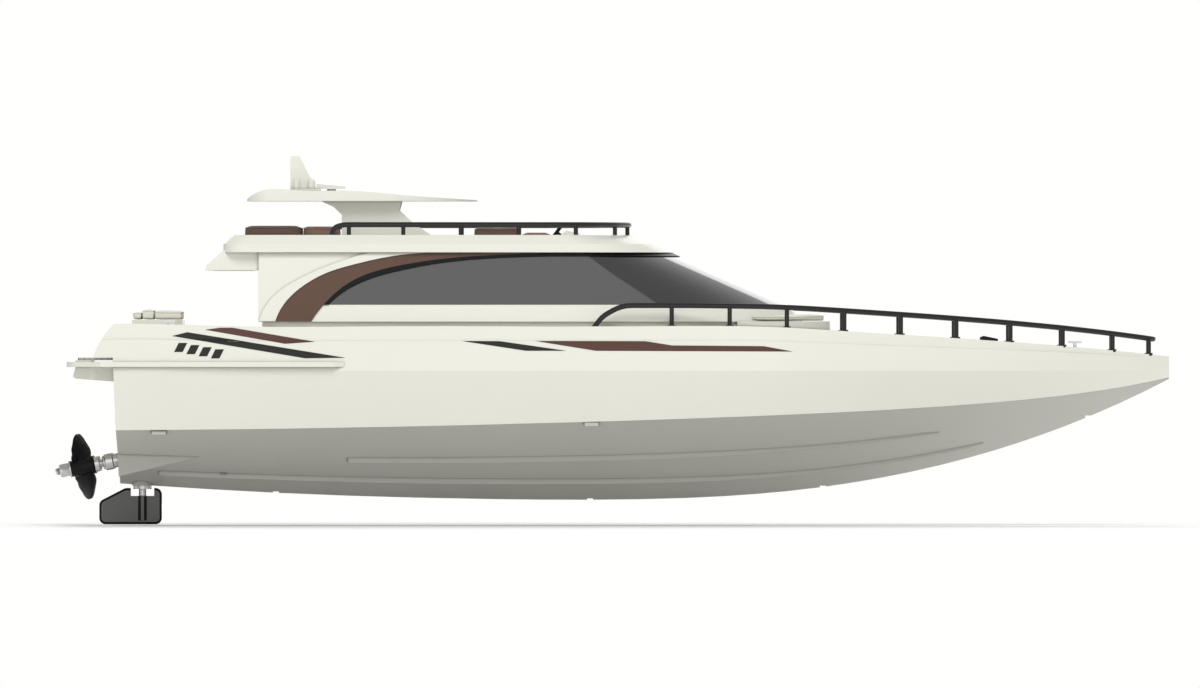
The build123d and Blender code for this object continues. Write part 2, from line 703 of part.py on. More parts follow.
# ---------------------------------------------------------------- propellers and shafts
HUB_AFT, HUB_FORE = 19.0, 9.2  # along the shaft, aft of the transom
HUB_R = 3.65
PROP_R = 13.3
PITCH = 38.0
NUT_AFT = 23.5
SHAFT_AFT, SHAFT_FORE = 25.2, -69.0
COUPLING = (-77.0, -63.0)
MOTOR_FORE, MOTOR_AFT = -120.0, -82.0
MOTOR_R = 12.0
BOSS_AFT = -79.5


def turned(profile, side=-1):
    """A body turned about a shaft from pairs of distance along the shaft and radius."""
    axis_plane = along_shaft(0, side)
    with BuildPart() as made:
        with BuildSketch(Plane(origin=axis_plane.origin, x_dir=axis_plane.z_dir, z_dir=(0, 1, 0))):
            with BuildLine():
                Polyline((profile[0][0], 0), *profile, (profile[-1][0], 0), close=True)
            make_face()
        revolve(axis=Axis(axis_plane.origin, axis_plane.z_dir))
    return made.part


def threaded_shaft():
    """A ground shaft whose aft end carries an M3 thread, made as a row of fine grooves."""
    pitch, depth = 0.5, 0.28
    profile = [(SHAFT_FORE, 0.9), (SHAFT_FORE + 0.6, SHAFT_R)]
    distance = NUT_AFT
    profile.append((NUT_AFT, SHAFT_R))
    while distance + pitch < SHAFT_AFT - 0.3:
        profile += [(distance + pitch / 2, SHAFT_R - depth), (distance + pitch, SHAFT_R)]
        distance += pitch
    return turned(profile + [(SHAFT_AFT, SHAFT_R - 0.45)])


def blade(angle):
    """A thin twisted blade through lens-shaped sections, square to a spoke at the given angle."""
    middle = along_shaft((HUB_AFT + HUB_FORE) / 2)
    spoke = middle.x_dir * cos(angle) + middle.y_dir * sin(angle)
    along = middle.z_dir
    across = spoke.cross(along)
    with BuildPart() as made:
        for radius, chord, thick in ((2.4, 7.6, 2.4), (5.0, 9.4, 1.7), (8.4, 10.0, 1.25), (11.0, 8.0, 0.95),
                                     (12.7, 4.6, 0.7), (PROP_R, 1.4, 0.45)):
            twist = atan2(PITCH, 2 * pi * radius)
            lean = across * cos(twist) + along * sin(twist)
            with BuildSketch(Plane(origin=middle.origin + spoke * radius, x_dir=lean, z_dir=spoke)):
                Ellipse(chord / 2, thick / 2)
        loft()
    return made.part


with BuildPart() as propeller:
    add(turned([(HUB_FORE, HUB_R - 0.5), (HUB_FORE + 0.6, HUB_R), (HUB_AFT - 3, HUB_R),
                (HUB_AFT, HUB_R - 0.6)]))
    for turn in (pi / 2, -pi / 2):
        add(blade(turn))
    add(turned([(HUB_FORE - 1, SHAFT_R), (HUB_AFT + 1, SHAFT_R)]), mode=Mode.SUBTRACT)

with BuildPart() as prop_nut:
    add(turned([(HUB_AFT, 3.4), (HUB_AFT + 0.5, 3.4)]))
    with BuildSketch(along_shaft(HUB_AFT + 0.5)):
        RegularPolygon(3.0, 6)
    extrude(amount=2.8)
    add(turned([(HUB_AFT + 3.3, 2.7), (NUT_AFT - 0.3, 2.6), (NUT_AFT, 2.2)]))
    add(turned([(HUB_AFT - 1, SHAFT_R), (NUT_AFT + 1, SHAFT_R)]), mode=Mode.SUBTRACT)

with BuildPart() as drive_dog:
    add(turned([(HUB_FORE - 2.0, 2.6), (HUB_FORE - 1.6, 3.1), (HUB_FORE, 3.1)]))
    add(turned([(HUB_FORE - 3, SHAFT_R), (HUB_FORE + 1, SHAFT_R)]), mode=Mode.SUBTRACT)

with BuildPart() as coupling:
    add(turned([(COUPLING[0], 3.6), (COUPLING[0] + 0.5, 4.1), (COUPLING[1] - 0.5, 4.1),
                (COUPLING[1], 3.6)]))
    add(turned([(SHAFT_FORE, SHAFT_R), (COUPLING[1] + 1, SHAFT_R)]), mode=Mode.SUBTRACT)
    add(turned([(COUPLING[0] - 1, 1.15), (-71.0, 1.15)]), mode=Mode.SUBTRACT)
    for distance in (-66.0, -74.0):
        grub_plane = along_shaft(distance)
        with BuildSketch(Plane(origin=grub_plane.origin, z_dir=grub_plane.y_dir)):
            Circle(1.0)
        extrude(amount=9, mode=Mode.SUBTRACT)

motor_spindle = turned([(MOTOR_AFT + 0.5, 1.15), (-71.2, 1.15)])

with BuildPart() as stuffing_tube:
    add(turned([(TUBE_IN, TUBE_R), (1.6, TUBE_R), (2.0, TUBE_R + COLLAR), (TUBE_OUT - 1.2, TUBE_R + COLLAR),
                (TUBE_OUT - 0.8, TUBE_R), (TUBE_OUT - 0.4, TUBE_R), (TUBE_OUT, TUBE_R - 0.4)]))
    add(turned([(TUBE_IN - 1, SHAFT_R + RUNNING_FIT), (TUBE_OUT + 1, SHAFT_R + RUNNING_FIT)]),
        mode=Mode.SUBTRACT)

with BuildPart() as motor:
    add(turned([(MOTOR_FORE, MOTOR_R - 1.5), (MOTOR_FORE + 1.5, MOTOR_R), (MOTOR_AFT - 1, MOTOR_R),
                (MOTOR_AFT, MOTOR_R - 1)]))
    add(turned([(MOTOR_AFT - 1, 5.0), (BOSS_AFT, 5.0)]))
    add(turned([(MOTOR_AFT - 6, 1.25), (BOSS_AFT + 1, 1.25)]), mode=Mode.SUBTRACT)
    with BuildSketch(along_shaft(MOTOR_FORE)):
        with PolarLocations(8.0, 2):
            Rectangle(3.2, 1.0)
    extrude(amount=-2.6)
    with BuildSketch(along_shaft(MOTOR_FORE)):
        Circle(4.0)
    extrude(amount=-2.0)

with BuildPart() as prop_hardware:
    add(prop_nut.part)
    add(drive_dog.part)

for name, piece in (("propeller", propeller.part), ("prop_hardware", prop_hardware.part),
                    ("prop_shaft", threaded_shaft()), ("coupling", coupling.part),
                    ("motor_spindle", motor_spindle)):
    keep(piece, f"starboard_{name}")
    with BuildPart() as port_piece:
        mirror(piece, about=Plane.XZ)
    keep(port_piece.part, f"port_{name}")
keep(both_sides(stuffing_tube.part), "stuffing_tubes")
keep(both_sides(motor.part), "motors")

# ---------------------------------------------------------------- fittings inside the hull
def bedded(solid):
    """A block cut to sit on the V of the hull's floor."""
    with BuildPart() as made:
        add(solid)
        add(lower_cavity, mode=Mode.INTERSECT)
    return made.part


def motor_mount_slab(low, high, half):
    """A strip of the tilted bulkhead between two heights."""
    plane = along_shaft(MOTOR_AFT)
    centre = Vector(plane.origin.X, 0, plane.origin.Z)
    with BuildPart() as made:
        with BuildSketch(Plane(origin=centre, x_dir=(0, 1, 0), z_dir=plane.z_dir)):
            with Locations((0, -(low + high) / 2)):
                Rectangle(2 * half, high - low)
        extrude(amount=2.5)
    return made.part


LEAD_HOLE = (-10.0, 26.6)  # where the servo's lead passes through the bulkhead
with BuildPart() as motor_mount:
    add(bedded(motor_mount_slab(-36, -8, 60)))
    add(motor_mount_slab(-9, 14.5, 34.5))
    for side in (-1, 1):
        add(rod(along_shaft(MOTOR_AFT - 1, side), 5.0, 6), mode=Mode.SUBTRACT)
    with Locations((-117.0, 0, 47.6)):
        Box(14, 12, 9, mode=Mode.SUBTRACT)
    with Locations((-119.0, LEAD_HOLE[0], LEAD_HOLE[1])):
        Cylinder(2.6, 16, rotation=(0, 90, 0), mode=Mode.SUBTRACT)
keep(motor_mount.part, "motor_mount")

SERVO_Z = 20.0
EAR_Z = 34.0
with BuildPart() as servo:
    add(brick((SERVO_X - 5.9, SERVO_X + 16.9), (-6, 6), (SERVO_Z, 38.6)))
    add(brick((SERVO_X - 10.7, SERVO_X + 21.7), (-6, 6), (EAR_Z, EAR_Z + 1.8)))
    with Locations((SERVO_X, 0, 39.6)):
        Cylinder(5.6, 2.0)
    with Locations((SERVO_X, 0, 41.1)):
        Cylinder(2.2, 1.2)
keep(servo.part, "servo")

with BuildPart() as servo_mount:
    for x_range in ((SERVO_X - 10.7, SERVO_X - 6.3), (SERVO_X + 17.3, SERVO_X + 21.7)):
        add(bedded(brick(x_range, (-7, 7), (10, EAR_Z))))
        with Locations((sum(x_range) / 2, 0, EAR_Z + 2.5)):
            Cylinder(1.8, 1.4)
keep(servo_mount.part, "servo_mount")


def steering_arm(x, bore):
    """An arm from a hub at x out to port, with a small hole for the pushrod."""
    with BuildPart() as made:
        with BuildSketch(Plane.XY.offset(TILLER_Z)):
            with Locations((x, 0)):
                Circle(3.2)
            with Locations((x, TILLER_R)):
                Circle(2.0)
            with Locations((x, TILLER_R / 2)):
                Rectangle(3.2, TILLER_R)
            with Locations((x, TILLER_R)):
                Circle(bore, mode=Mode.SUBTRACT)
        extrude(amount=2.0)
    return made.part


with BuildPart() as servo_horn:
    add(steering_arm(SERVO_X, PIN_R + RUNNING_FIT))
    with Locations((SERVO_X, 0, TILLER_Z + 2.7)):
        Cylinder(1.5, 1.4)
keep(servo_horn.part, "servo_horn")

with BuildPart() as tiller_arm:
    add(steering_arm(RUDDER_X, PIN_R + 0.35))
    with Locations((RUDDER_X, 0, TILLER_Z + 0.5)):
        Cylinder(3.2, 5.0)
    with Locations((RUDDER_X, 0, TILLER_Z)):
        Cylinder(SHAFT_R, 12, mode=Mode.SUBTRACT)
keep(tiller_arm.part, "tiller_arm")

ROD_Z = TILLER_Z + 3.6
with BuildPart() as rudder_pushrod:
    with BuildLine() as rod_line:
        FilletPolyline((RUDDER_X, TILLER_R, TILLER_Z - 0.8), (RUDDER_X, TILLER_R, ROD_Z),
                       (SERVO_X, TILLER_R, ROD_Z), (SERVO_X, TILLER_R, TILLER_Z - 0.8), radius=1.4)
    with BuildSketch(Plane(origin=rod_line.line @ 0, z_dir=rod_line.line % 0)):
        Circle(PIN_R)
    sweep()
keep(rudder_pushrod.part, "rudder_pushrod")

# ---------------------------------------------------------------- rudder
RUDDER_TOP_Z = 14.6
SOCKET_Z = 11.4
BUSH_LOW_Z = 14.2
SPINE_LOW_Z, SPINE_R = 1.6, 2.3  # the blade's round spine, which holds the post
with BuildPart() as rudder_blade:
    with BuildSketch(Plane.XZ) as rudder_side:
        with BuildLine():
            Polyline((-181.2, 0), (-181.2, RUDDER_TOP_Z), (-195.9, RUDDER_TOP_Z), (-206.4, 9.2), (-206.4, 0),
                     close=True)
        make_face()
        fillet(rudder_side.vertices(), 2.6)
    extrude(amount=1.5, both=True)
    chamfer(rudder_blade.faces().filter_by(Axis.Y).edges(), length=0.9)
    add(brick((RUDDER_X - 4.7, RUDDER_X + 4.7), (-3, 3), (SOCKET_Z, 16)), mode=Mode.SUBTRACT)
    with BuildSketch(Plane.XY.offset(SPINE_LOW_Z)):
        with Locations((RUDDER_X, 0)):
            Circle(SPINE_R)
    extrude(amount=SOCKET_Z - SPINE_LOW_Z)
    with Locations((RUDDER_X, 0, SOCKET_Z)):
        Cylinder(SHAFT_R, 16, mode=Mode.SUBTRACT)
keep(rudder_blade.part, "rudder_blade")

with BuildPart() as rudder_post:
    with BuildSketch(Plane.XY.offset(SOCKET_Z - 8)):
        with Locations((RUDDER_X, 0)):
            Circle(SHAFT_R)
    extrude(amount=TILLER_Z + 3.4 - SOCKET_Z + 8)
keep(rudder_post.part, "rudder_post")

with BuildPart() as rudder_bush:
    with BuildSketch(Plane.XY.offset(BUSH_LOW_Z)):
        with Locations((RUDDER_X, 0)):
            Circle(3.7)
    extrude(amount=1.4)
    with BuildSketch(Plane.XY.offset(BUSH_LOW_Z)):
        with Locations((RUDDER_X, 0)):
            Circle(2.6)
    extrude(amount=25)
    with Locations((RUDDER_X, 0, 25)):
        Cylinder(SHAFT_R + RUNNING_FIT, 40, mode=Mode.SUBTRACT)
keep(rudder_bush.part, "rudder_bush")

# ---------------------------------------------------------------- battery, electronics and wires
TRAY_Z = 25.0
BATTERY = ((-46.0, 50.0), (-19.0, 19.0), (TRAY_Z, TRAY_Z + 22))
CONTROL = ((60.0, 96.0), (-17.0, 17.0), (29.0, 43.0))
with BuildPart() as equipment_tray:
    add(bedded(brick((-50, 54), (-24, 24), (8, TRAY_Z + 6))))
    add(brick(*BATTERY[:2], (TRAY_Z, FAR)), mode=Mode.SUBTRACT)
    add(bedded(brick((58, 98), (-19, 19), (8, 29))))
keep(equipment_tray.part, "equipment_tray")

with BuildPart() as battery_pack:
    add(brick(*BATTERY))
    fillet(battery_pack.edges().filter_by(Axis.X), 4)
keep(battery_pack.part, "battery_pack")

with BuildPart() as battery_strap:
    add(brick((-6, 8), (-20.2, 20.2), (TRAY_Z + 6, TRAY_Z + 23.2)))
    add(brick((-7, 9), BATTERY[1], (20, BATTERY[2][1])), mode=Mode.SUBTRACT)
    add(battery_pack.part, mode=Mode.SUBTRACT)
keep(battery_strap.part, "battery_strap")

SWITCH_X = 70.0
with BuildPart() as control_box:
    add(brick(*CONTROL))
    fillet(control_box.edges().filter_by(Axis.Z), 2)
    add(brick((SWITCH_X - 6, SWITCH_X + 6), (-3.5, 3.5), (42, 47)))
    add(brick((SWITCH_X - 3.4, SWITCH_X + 3.4), (-1.5, 1.5), (45.0, 48)), mode=Mode.SUBTRACT)
keep(control_box.part, "control_box")

with BuildPart() as power_switch_knob:
    add(brick((SWITCH_X - 3.3, SWITCH_X - 3.3 + 4.6), (-1.4, 1.4), (45.05, 46.9)))
    add(brick((SWITCH_X - 3.3, SWITCH_X - 3.3 + 3.0), (-1.4, 1.4), (46.9, 49.4)))
keep(power_switch_knob.part, "power_switch_knob")

WIRE_R = 0.9
with BuildPart() as power_leads:
    for side in (-1, 1):
        for inner in (0, 1):
            lift = 2.4 * inner
            route = [(-78.4, 28 - 16 * inner, 49.3), (-72, 28 - 16 * inner, 50.6),
                     (-58, 28 - 7 * inner, 48 + lift), (-36, 28.6, 43 + lift), (6, 27.6, 41 + lift),
                     (38, 28.2, 40.4 + lift), (58, 26.0, 38.6 + lift), (66, 21.5, 37 + lift),
                     (66, 17, 37 + lift)]
            add(tube([(x, side * y, z) for x, y, z in route], WIRE_R))
    add(tube([(50.0, 2, 35), (53.4, 2, 35), (56.8, -2, 35.6), (60, -2, 35.6)], 1.2))
keep(power_leads.part, "power_leads")

servo_route = [(SERVO_X + 8, -6, 26.6), (SERVO_X + 8, -9.6, 26.6), (SERVO_X + 14, -10.8, 26.8),
               (-119, *LEAD_HOLE), (-104, -6, 25.6), (-80, -5, 27), (-64, -12, 35), (-52, -22, 45.6),
               (-30, -23.6, 48.6), (0, -24.0, 48), (32, -23.0, 47.6), (56, -24.0, 45.6), (74, -23.2, 41),
               (78, -20.6, 39.4), (78, -17, 39.4)]
keep(tube(servo_route, 0.8), "servo_lead")

SENSOR_X, SENSOR_Y = -156.2, 15.8
with BuildPart() as water_sensor_pins:
    sensor_half, sensor_top = lower_outline(SENSOR_X)[1]
    sensor_slope = (sensor_top - keel_z(SENSOR_X)) / sensor_half
    for side in (-1, 1):
        out = Vector(0, side * sensor_slope, -1).normalized()
        foot = Vector(SENSOR_X, side * SENSOR_Y, keel_z(SENSOR_X) + sensor_slope * SENSOR_Y)
        with BuildSketch(Plane(origin=foot - out * 0.3, z_dir=out)):
            Circle(1.1)
        extrude(amount=0.9)
    add(lower_hull.part, mode=Mode.SUBTRACT)
keep(water_sensor_pins.part, "water_sensor_pins")

with BuildPart() as bow_foam:
    add(bedded(brick((118, 168), (-22, 22), (10, 44))))
keep(bow_foam.part, "bow_foam")
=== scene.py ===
# %% [markdown]
# # A radio-controlled motor yacht
# The boat arrives as a frame: every moulding, shaft and screw already has its true size and place. This
# notebook gives each of them the finish it has on the real model, and builds the few things that a solid
# model can't hold: padded cushions, stickers and plank lines. Everything is in metres, with +X to the bow.

# %% load the frame
import math

import bmesh
import bpy
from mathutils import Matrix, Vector
from mathutils.bvhtree import BVHTree


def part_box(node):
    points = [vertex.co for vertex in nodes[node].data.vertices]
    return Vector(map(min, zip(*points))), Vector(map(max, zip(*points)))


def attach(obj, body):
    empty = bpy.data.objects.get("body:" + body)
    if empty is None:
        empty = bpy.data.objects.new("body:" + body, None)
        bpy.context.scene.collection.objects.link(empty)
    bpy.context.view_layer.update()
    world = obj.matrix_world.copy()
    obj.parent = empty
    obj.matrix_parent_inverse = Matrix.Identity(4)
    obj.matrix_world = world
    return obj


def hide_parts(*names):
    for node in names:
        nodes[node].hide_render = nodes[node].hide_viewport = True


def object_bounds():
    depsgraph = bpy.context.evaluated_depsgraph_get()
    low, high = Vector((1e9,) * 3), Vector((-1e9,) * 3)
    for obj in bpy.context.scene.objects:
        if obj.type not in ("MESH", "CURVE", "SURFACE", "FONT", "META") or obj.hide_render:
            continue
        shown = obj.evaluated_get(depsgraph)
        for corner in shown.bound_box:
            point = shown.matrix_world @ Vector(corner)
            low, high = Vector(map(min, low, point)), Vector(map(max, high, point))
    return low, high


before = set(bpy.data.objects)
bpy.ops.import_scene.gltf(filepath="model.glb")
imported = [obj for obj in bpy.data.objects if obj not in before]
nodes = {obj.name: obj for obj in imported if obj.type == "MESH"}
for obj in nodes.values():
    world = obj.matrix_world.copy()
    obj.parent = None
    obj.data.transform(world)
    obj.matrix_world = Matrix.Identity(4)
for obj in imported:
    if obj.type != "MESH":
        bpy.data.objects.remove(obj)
cad_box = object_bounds()
MM = 0.001
SIDES = (-1, 1)  # starboard, port
print(len(nodes), "solids,", round((cad_box[1] - cad_box[0]).x / MM), "mm long")

# %% [markdown]
# ## Camera
# The boat is looked at square from its starboard side, as in a side elevation: the rails' far posts hide
# behind the near ones, and both ends are seen alike. An orthographic camera would draw that, but it can't
# step back when the boat is turned end on. A very long lens from far away comes close enough to it.

# %% camera
VIEW_WIDTH = 480 * MM
LENS, SENSOR = 900.0, 36.0

camera_data = bpy.data.cameras.new("camera")
camera_data.lens, camera_data.sensor_width = LENS, SENSOR
camera = bpy.data.objects.new("camera", camera_data)
bpy.context.scene.collection.objects.link(camera)
aim = Vector((-5 * MM, 0, 72.5 * MM))
camera_away = VIEW_WIDTH * LENS / SENSOR + cad_box[1].y
camera.location = aim - Vector((0, camera_away, 0))
camera.rotation_euler = (math.radians(90), 0, 0)
camera_data.clip_end = 30.0
bpy.context.scene.camera = camera
print("camera stands", round(camera_away, 2), "m off")

# %% [markdown]
# ## Studio
# A glossy hull shows whatever stands round it. White card all round gives clean, quiet reflections, and
# two wide soft lamps above, one to each side, make the decks brighter than the topsides. A lit card further
# out on each side fills the flat side windows with a soft reflection, which stops where the windscreen
# bends away. The card all round looks pure white to the camera but lights the boat only half as strongly,
# so that the lamps model its shape.

# %% studio
def soft_lamp(name, place, look_at, size, power):
    """A square area lamp."""
    lamp_data = bpy.data.lights.new(name, "AREA")
    lamp_data.shape, lamp_data.size, lamp_data.energy = "SQUARE", size, power
    lamp = bpy.data.objects.new(name, lamp_data)
    bpy.context.scene.collection.objects.link(lamp)
    lamp.location = place
    lamp.rotation_euler = (Vector(look_at) - lamp.location).to_track_quat("-Z", "Y").to_euler()
    return lamp


def plain_world(colour, strength):
    """White all round: full white where the camera sees it, and of the given strength as light."""
    world = bpy.data.worlds.new("white_card")
    world.use_nodes = True
    tree = world.node_tree
    background = tree.nodes["Background"]
    background.inputs["Color"].default_value = (*colour, 1)
    rays = tree.nodes.new("ShaderNodeLightPath")
    brightness = tree.nodes.new("ShaderNodeMapRange")
    brightness.inputs["To Min"].default_value = strength
    brightness.inputs["To Max"].default_value = 1.0
    tree.links.new(rays.outputs["Is Camera Ray"], brightness.inputs["Value"])
    tree.links.new(brightness.outputs["Result"], background.inputs["Strength"])
    bpy.context.scene.world = world


plain_world(colour=(1.0, 1.0, 0.985), strength=0.48)
for side, side_name in zip(SIDES, ("starboard", "port")):
    high = soft_lamp("high_" + side_name, place=(-0.15 * side, side * 1.9, 1.8), look_at=(0, 0, 0.06),
                     size=1.0, power=36)
    high.visible_glossy = False  # a lamp's square image on the windscreen would look like a streak
    soft_lamp("card_" + side_name, place=(-0.3, side * 3.2, 0.5), look_at=(0, 0, 0.08), size=2.2, power=13)
bpy.context.scene.view_settings.view_transform = "Standard"


def floor_material(dark, light):
    """A matt floor whose grey wanders a little between two shades."""
    material = bpy.data.materials.new("studio_floor")
    material.use_nodes = True
    tree = material.node_tree
    shader = tree.nodes["Principled BSDF"]
    shader.inputs["Roughness"].default_value = 0.9
    speckle = tree.nodes.new("ShaderNodeTexNoise")
    speckle.inputs["Scale"].default_value = 3.0
    ramp = tree.nodes.new("ShaderNodeMapRange")
    ramp.inputs["To Min"].default_value, ramp.inputs["To Max"].default_value = dark, light
    tree.links.new(speckle.outputs["Fac"], ramp.inputs["Value"])
    tree.links.new(ramp.outputs["Result"], shader.inputs["Base Color"])
    return material


def studio_floor(half, gap):
    """A square floor a hair below the boat, so that the two don't fight for the same place."""
    mesh = bpy.data.meshes.new("floor")
    corners = [(-half, -half, -gap), (half, -half, -gap), (half, half, -gap), (-half, half, -gap)]
    mesh.from_pydata(corners, [], [(0, 1, 2, 3)])
    floor = bpy.data.objects.new("floor", mesh)
    bpy.context.scene.collection.objects.link(floor)
    mesh.materials.append(floor_material(dark=0.84, light=0.88))


studio_floor(half=1.6, gap=0.5 * MM)

# %% [markdown]
# ## Shared effects
# Four effects turn up on almost every piece. They could be copied into each material, but then a change
# would have to be made a dozen times, so each is a node group, built once and placed with its own values.
# Two helpers come first: one makes an empty group, the other adds a node with its settings and links.

# %% node helpers
def new_group(name, inputs, outputs):
    """A shader node group. Inputs and outputs are lists of (name, kind, default)."""
    group = bpy.data.node_groups.new(name, "ShaderNodeTree")
    kinds = {"value": "NodeSocketFloat", "colour": "NodeSocketColor", "vector": "NodeSocketVector"}
    for direction, sockets in (("INPUT", inputs), ("OUTPUT", outputs)):
        for label, kind, default in sockets:
            socket = group.interface.new_socket(label, in_out=direction, socket_type=kinds[kind])
            if default is not None:
                socket.default_value = default
    return group, group.nodes.new("NodeGroupInput"), group.nodes.new("NodeGroupOutput")


def add_node(tree, kind, values=(), **settings):
    """A node with its settings, and (socket, value or output socket) pairs for its inputs."""
    made = tree.nodes.new(kind)
    for label, setting in settings.items():
        setattr(made, label, setting)
    for socket, value in values:
        if isinstance(value, bpy.types.NodeSocket):
            tree.links.new(value, made.inputs[socket])
        else:
            made.inputs[socket].default_value = value
    return made

# %% [markdown]
# ### Soft edges and grain
# No moulded or turned edge is perfectly sharp. Rounding them all in the mesh would cost many faces, so the
# light is rounded instead: a bevel node turns the normal near an edge. Where the turned normal leaves the
# flat one there is an edge, and noise breaks that mask up, as wear does. A fine noise gives the grain.

# %% soft edges and grain
def make_soft_edges():
    """Rounded normal, a mask of worn edges, and the height of a fine grain."""
    group, given, result = new_group(
        "soft_edges",
        [("Radius", "value", 0.0003), ("Grain Scale", "value", 2500.0), ("Grain", "value", 0.1)],
        [("Normal", "vector", None), ("Edge", "value", None), ("Height", "value", None)])
    bevel = add_node(group, "ShaderNodeBevel", [("Radius", given.outputs["Radius"])], samples=4)
    flat = add_node(group, "ShaderNodeNewGeometry")
    turn = add_node(group, "ShaderNodeVectorMath", [(0, bevel.outputs[0]), (1, flat.outputs["Normal"])],
                    operation="DOT_PRODUCT")
    edge = add_node(group, "ShaderNodeMapRange", [("Value", turn.outputs["Value"]), ("From Min", 0.995),
                                                  ("From Max", 0.86), ("To Min", 0.0), ("To Max", 1.0)])
    place = add_node(group, "ShaderNodeTexCoord")
    patches = add_node(group, "ShaderNodeTexNoise", [("Vector", place.outputs["Object"]), ("Scale", 220.0),
                                                     ("Detail", 3.0)])
    worn = add_node(group, "ShaderNodeMath", [(0, edge.outputs[0]), (1, patches.outputs["Fac"])],
                    operation="MULTIPLY")
    grain = add_node(group, "ShaderNodeTexNoise", [("Vector", place.outputs["Object"]),
                                                   ("Scale", given.outputs["Grain Scale"]),
                                                   ("Detail", 2.0)])
    height = add_node(group, "ShaderNodeMath", [(0, grain.outputs["Fac"]), (1, given.outputs["Grain"])],
                      operation="MULTIPLY")
    group.links.new(bevel.outputs[0], result.inputs["Normal"])
    group.links.new(worn.outputs[0], result.inputs["Edge"])
    group.links.new(height.outputs[0], result.inputs["Height"])
    return group


SOFT_EDGES = make_soft_edges()

# %% [markdown]
# ### Colour drift
# No moulding is one even colour. A slow noise moves the brightness up and down a little, and worn edges
# come out lighter.

# %% colour drift
def make_tone():
    """A colour that drifts from place to place and lightens at worn edges."""
    group, given, result = new_group(
        "tone", [("Colour", "colour", (1, 1, 1, 1)), ("Drift", "value", 0.05), ("Scale", "value", 30.0),
                 ("Edge", "value", 0.0), ("Edge Light", "value", 0.2)], [("Colour", "colour", None)])
    place = add_node(group, "ShaderNodeTexCoord")
    cloud = add_node(group, "ShaderNodeTexNoise", [("Vector", place.outputs["Object"]),
                                                   ("Scale", given.outputs["Scale"]), ("Detail", 4.0)])
    centred = add_node(group, "ShaderNodeMath", [(0, cloud.outputs["Fac"]), (1, 0.5)], operation="SUBTRACT")
    drift = add_node(group, "ShaderNodeMath", [(0, centred.outputs[0]), (1, given.outputs["Drift"])],
                     operation="MULTIPLY")
    lift = add_node(group, "ShaderNodeMath", [(0, given.outputs["Edge"]), (1, given.outputs["Edge Light"])],
                    operation="MULTIPLY")
    total = add_node(group, "ShaderNodeMath", [(0, drift.outputs[0]), (1, lift.outputs[0])],
                     operation="ADD")
    value = add_node(group, "ShaderNodeMath", [(0, total.outputs[0]), (1, 1.0)], operation="ADD")
    shifted = add_node(group, "ShaderNodeHueSaturation", [("Color", given.outputs["Colour"]),
                                                          ("Value", value.outputs[0])])
    group.links.new(shifted.outputs[0], result.inputs["Colour"])
    return group


TONE = make_tone()

# %% [markdown]
# ### Gloss variation
# Fingerprints and polishing haze show in the reflections only. A finer noise is added to the roughness, and
# worn edges turn a little duller.

# %% gloss variation
EDGE_DULLING = 0.12


def make_gloss():
    """A roughness with haze, higher at worn edges."""
    group, given, result = new_group(
        "gloss", [("Roughness", "value", 0.3), ("Haze", "value", 0.08), ("Scale", "value", 60.0),
                  ("Edge", "value", 0.0)], [("Roughness", "value", None)])
    place = add_node(group, "ShaderNodeTexCoord")
    haze = add_node(group, "ShaderNodeTexNoise", [("Vector", place.outputs["Object"]),
                                                  ("Scale", given.outputs["Scale"]), ("Detail", 5.0),
                                                  ("Roughness", 0.65)])
    spread = add_node(group, "ShaderNodeMath", [(0, haze.outputs["Fac"]), (1, given.outputs["Haze"])],
                      operation="MULTIPLY")
    scuffed = add_node(group, "ShaderNodeMath", [(0, given.outputs["Edge"]), (1, EDGE_DULLING)],
                       operation="MULTIPLY")
    added = add_node(group, "ShaderNodeMath", [(0, spread.outputs[0]), (1, scuffed.outputs[0])],
                     operation="ADD")
    total = add_node(group, "ShaderNodeMath", [(0, added.outputs[0]), (1, given.outputs["Roughness"])],
                     operation="ADD")
    group.links.new(total.outputs[0], result.inputs["Roughness"])
    return group


GLOSS = make_gloss()

# %% [markdown]
# ### Corner shade
# Where one moulding meets another and along the foot of a spray rail, shade is painted into the colour, with
# a little dust. The dark lines could be modelled as grooves, but there are dozens of such corners. An
# occlusion node finds them itself: it sends short rays out from the surface, and the fewer get away, the
# darker the colour is painted.

# %% corner shade
CORNER_REACH = 1.4 * MM


def make_corner_shade():
    """Paints shade, with a little dust, into a colour in tight corners. Depth is how much of the brightness
    the tightest corner loses.
    """
    group, given, result = new_group(
        "corner_shade", [("Colour", "colour", (1, 1, 1, 1)), ("Reach", "value", CORNER_REACH),
                         ("Depth", "value", 0.5)],
        [("Colour", "colour", None)])
    open_sky = add_node(group, "ShaderNodeAmbientOcclusion", [("Distance", given.outputs["Reach"])],
                        samples=8)
    shut = add_node(group, "ShaderNodeMapRange", [("Value", open_sky.outputs["AO"]), ("From Min", 0.92),
                                                  ("From Max", 0.45), ("To Min", 0.0), ("To Max", 1.0)])
    amount = add_node(group, "ShaderNodeMath", [(0, shut.outputs[0]), (1, given.outputs["Depth"])],
                      operation="MULTIPLY")
    value = add_node(group, "ShaderNodeMath", [(0, 1.0), (1, amount.outputs[0])], operation="SUBTRACT")
    shaded = add_node(group, "ShaderNodeHueSaturation", [("Color", given.outputs["Colour"]),
                                                         ("Value", value.outputs[0])])
    group.links.new(shaded.outputs[0], result.inputs["Colour"])
    return group


CORNER_SHADE = make_corner_shade()
print("shared effects:", [g.name for g in bpy.data.node_groups])

# %% [markdown]
# ## Mouldings
# Most of a model boat is vacuum-formed or injection-moulded plastic, in a few colours. One function makes
# such a finish, and the values tell ivory gelcoat from black trim: colour, shine, how coarse the grain is
# and how much its edges lighten with handling.

# %% moulded plastic
GRAIN_DEEP = 0.1 * MM


def place_group(tree, group, values):
    """One of the shared effects in a material, with its own values."""
    return add_node(tree, "ShaderNodeGroup", values, node_tree=group)


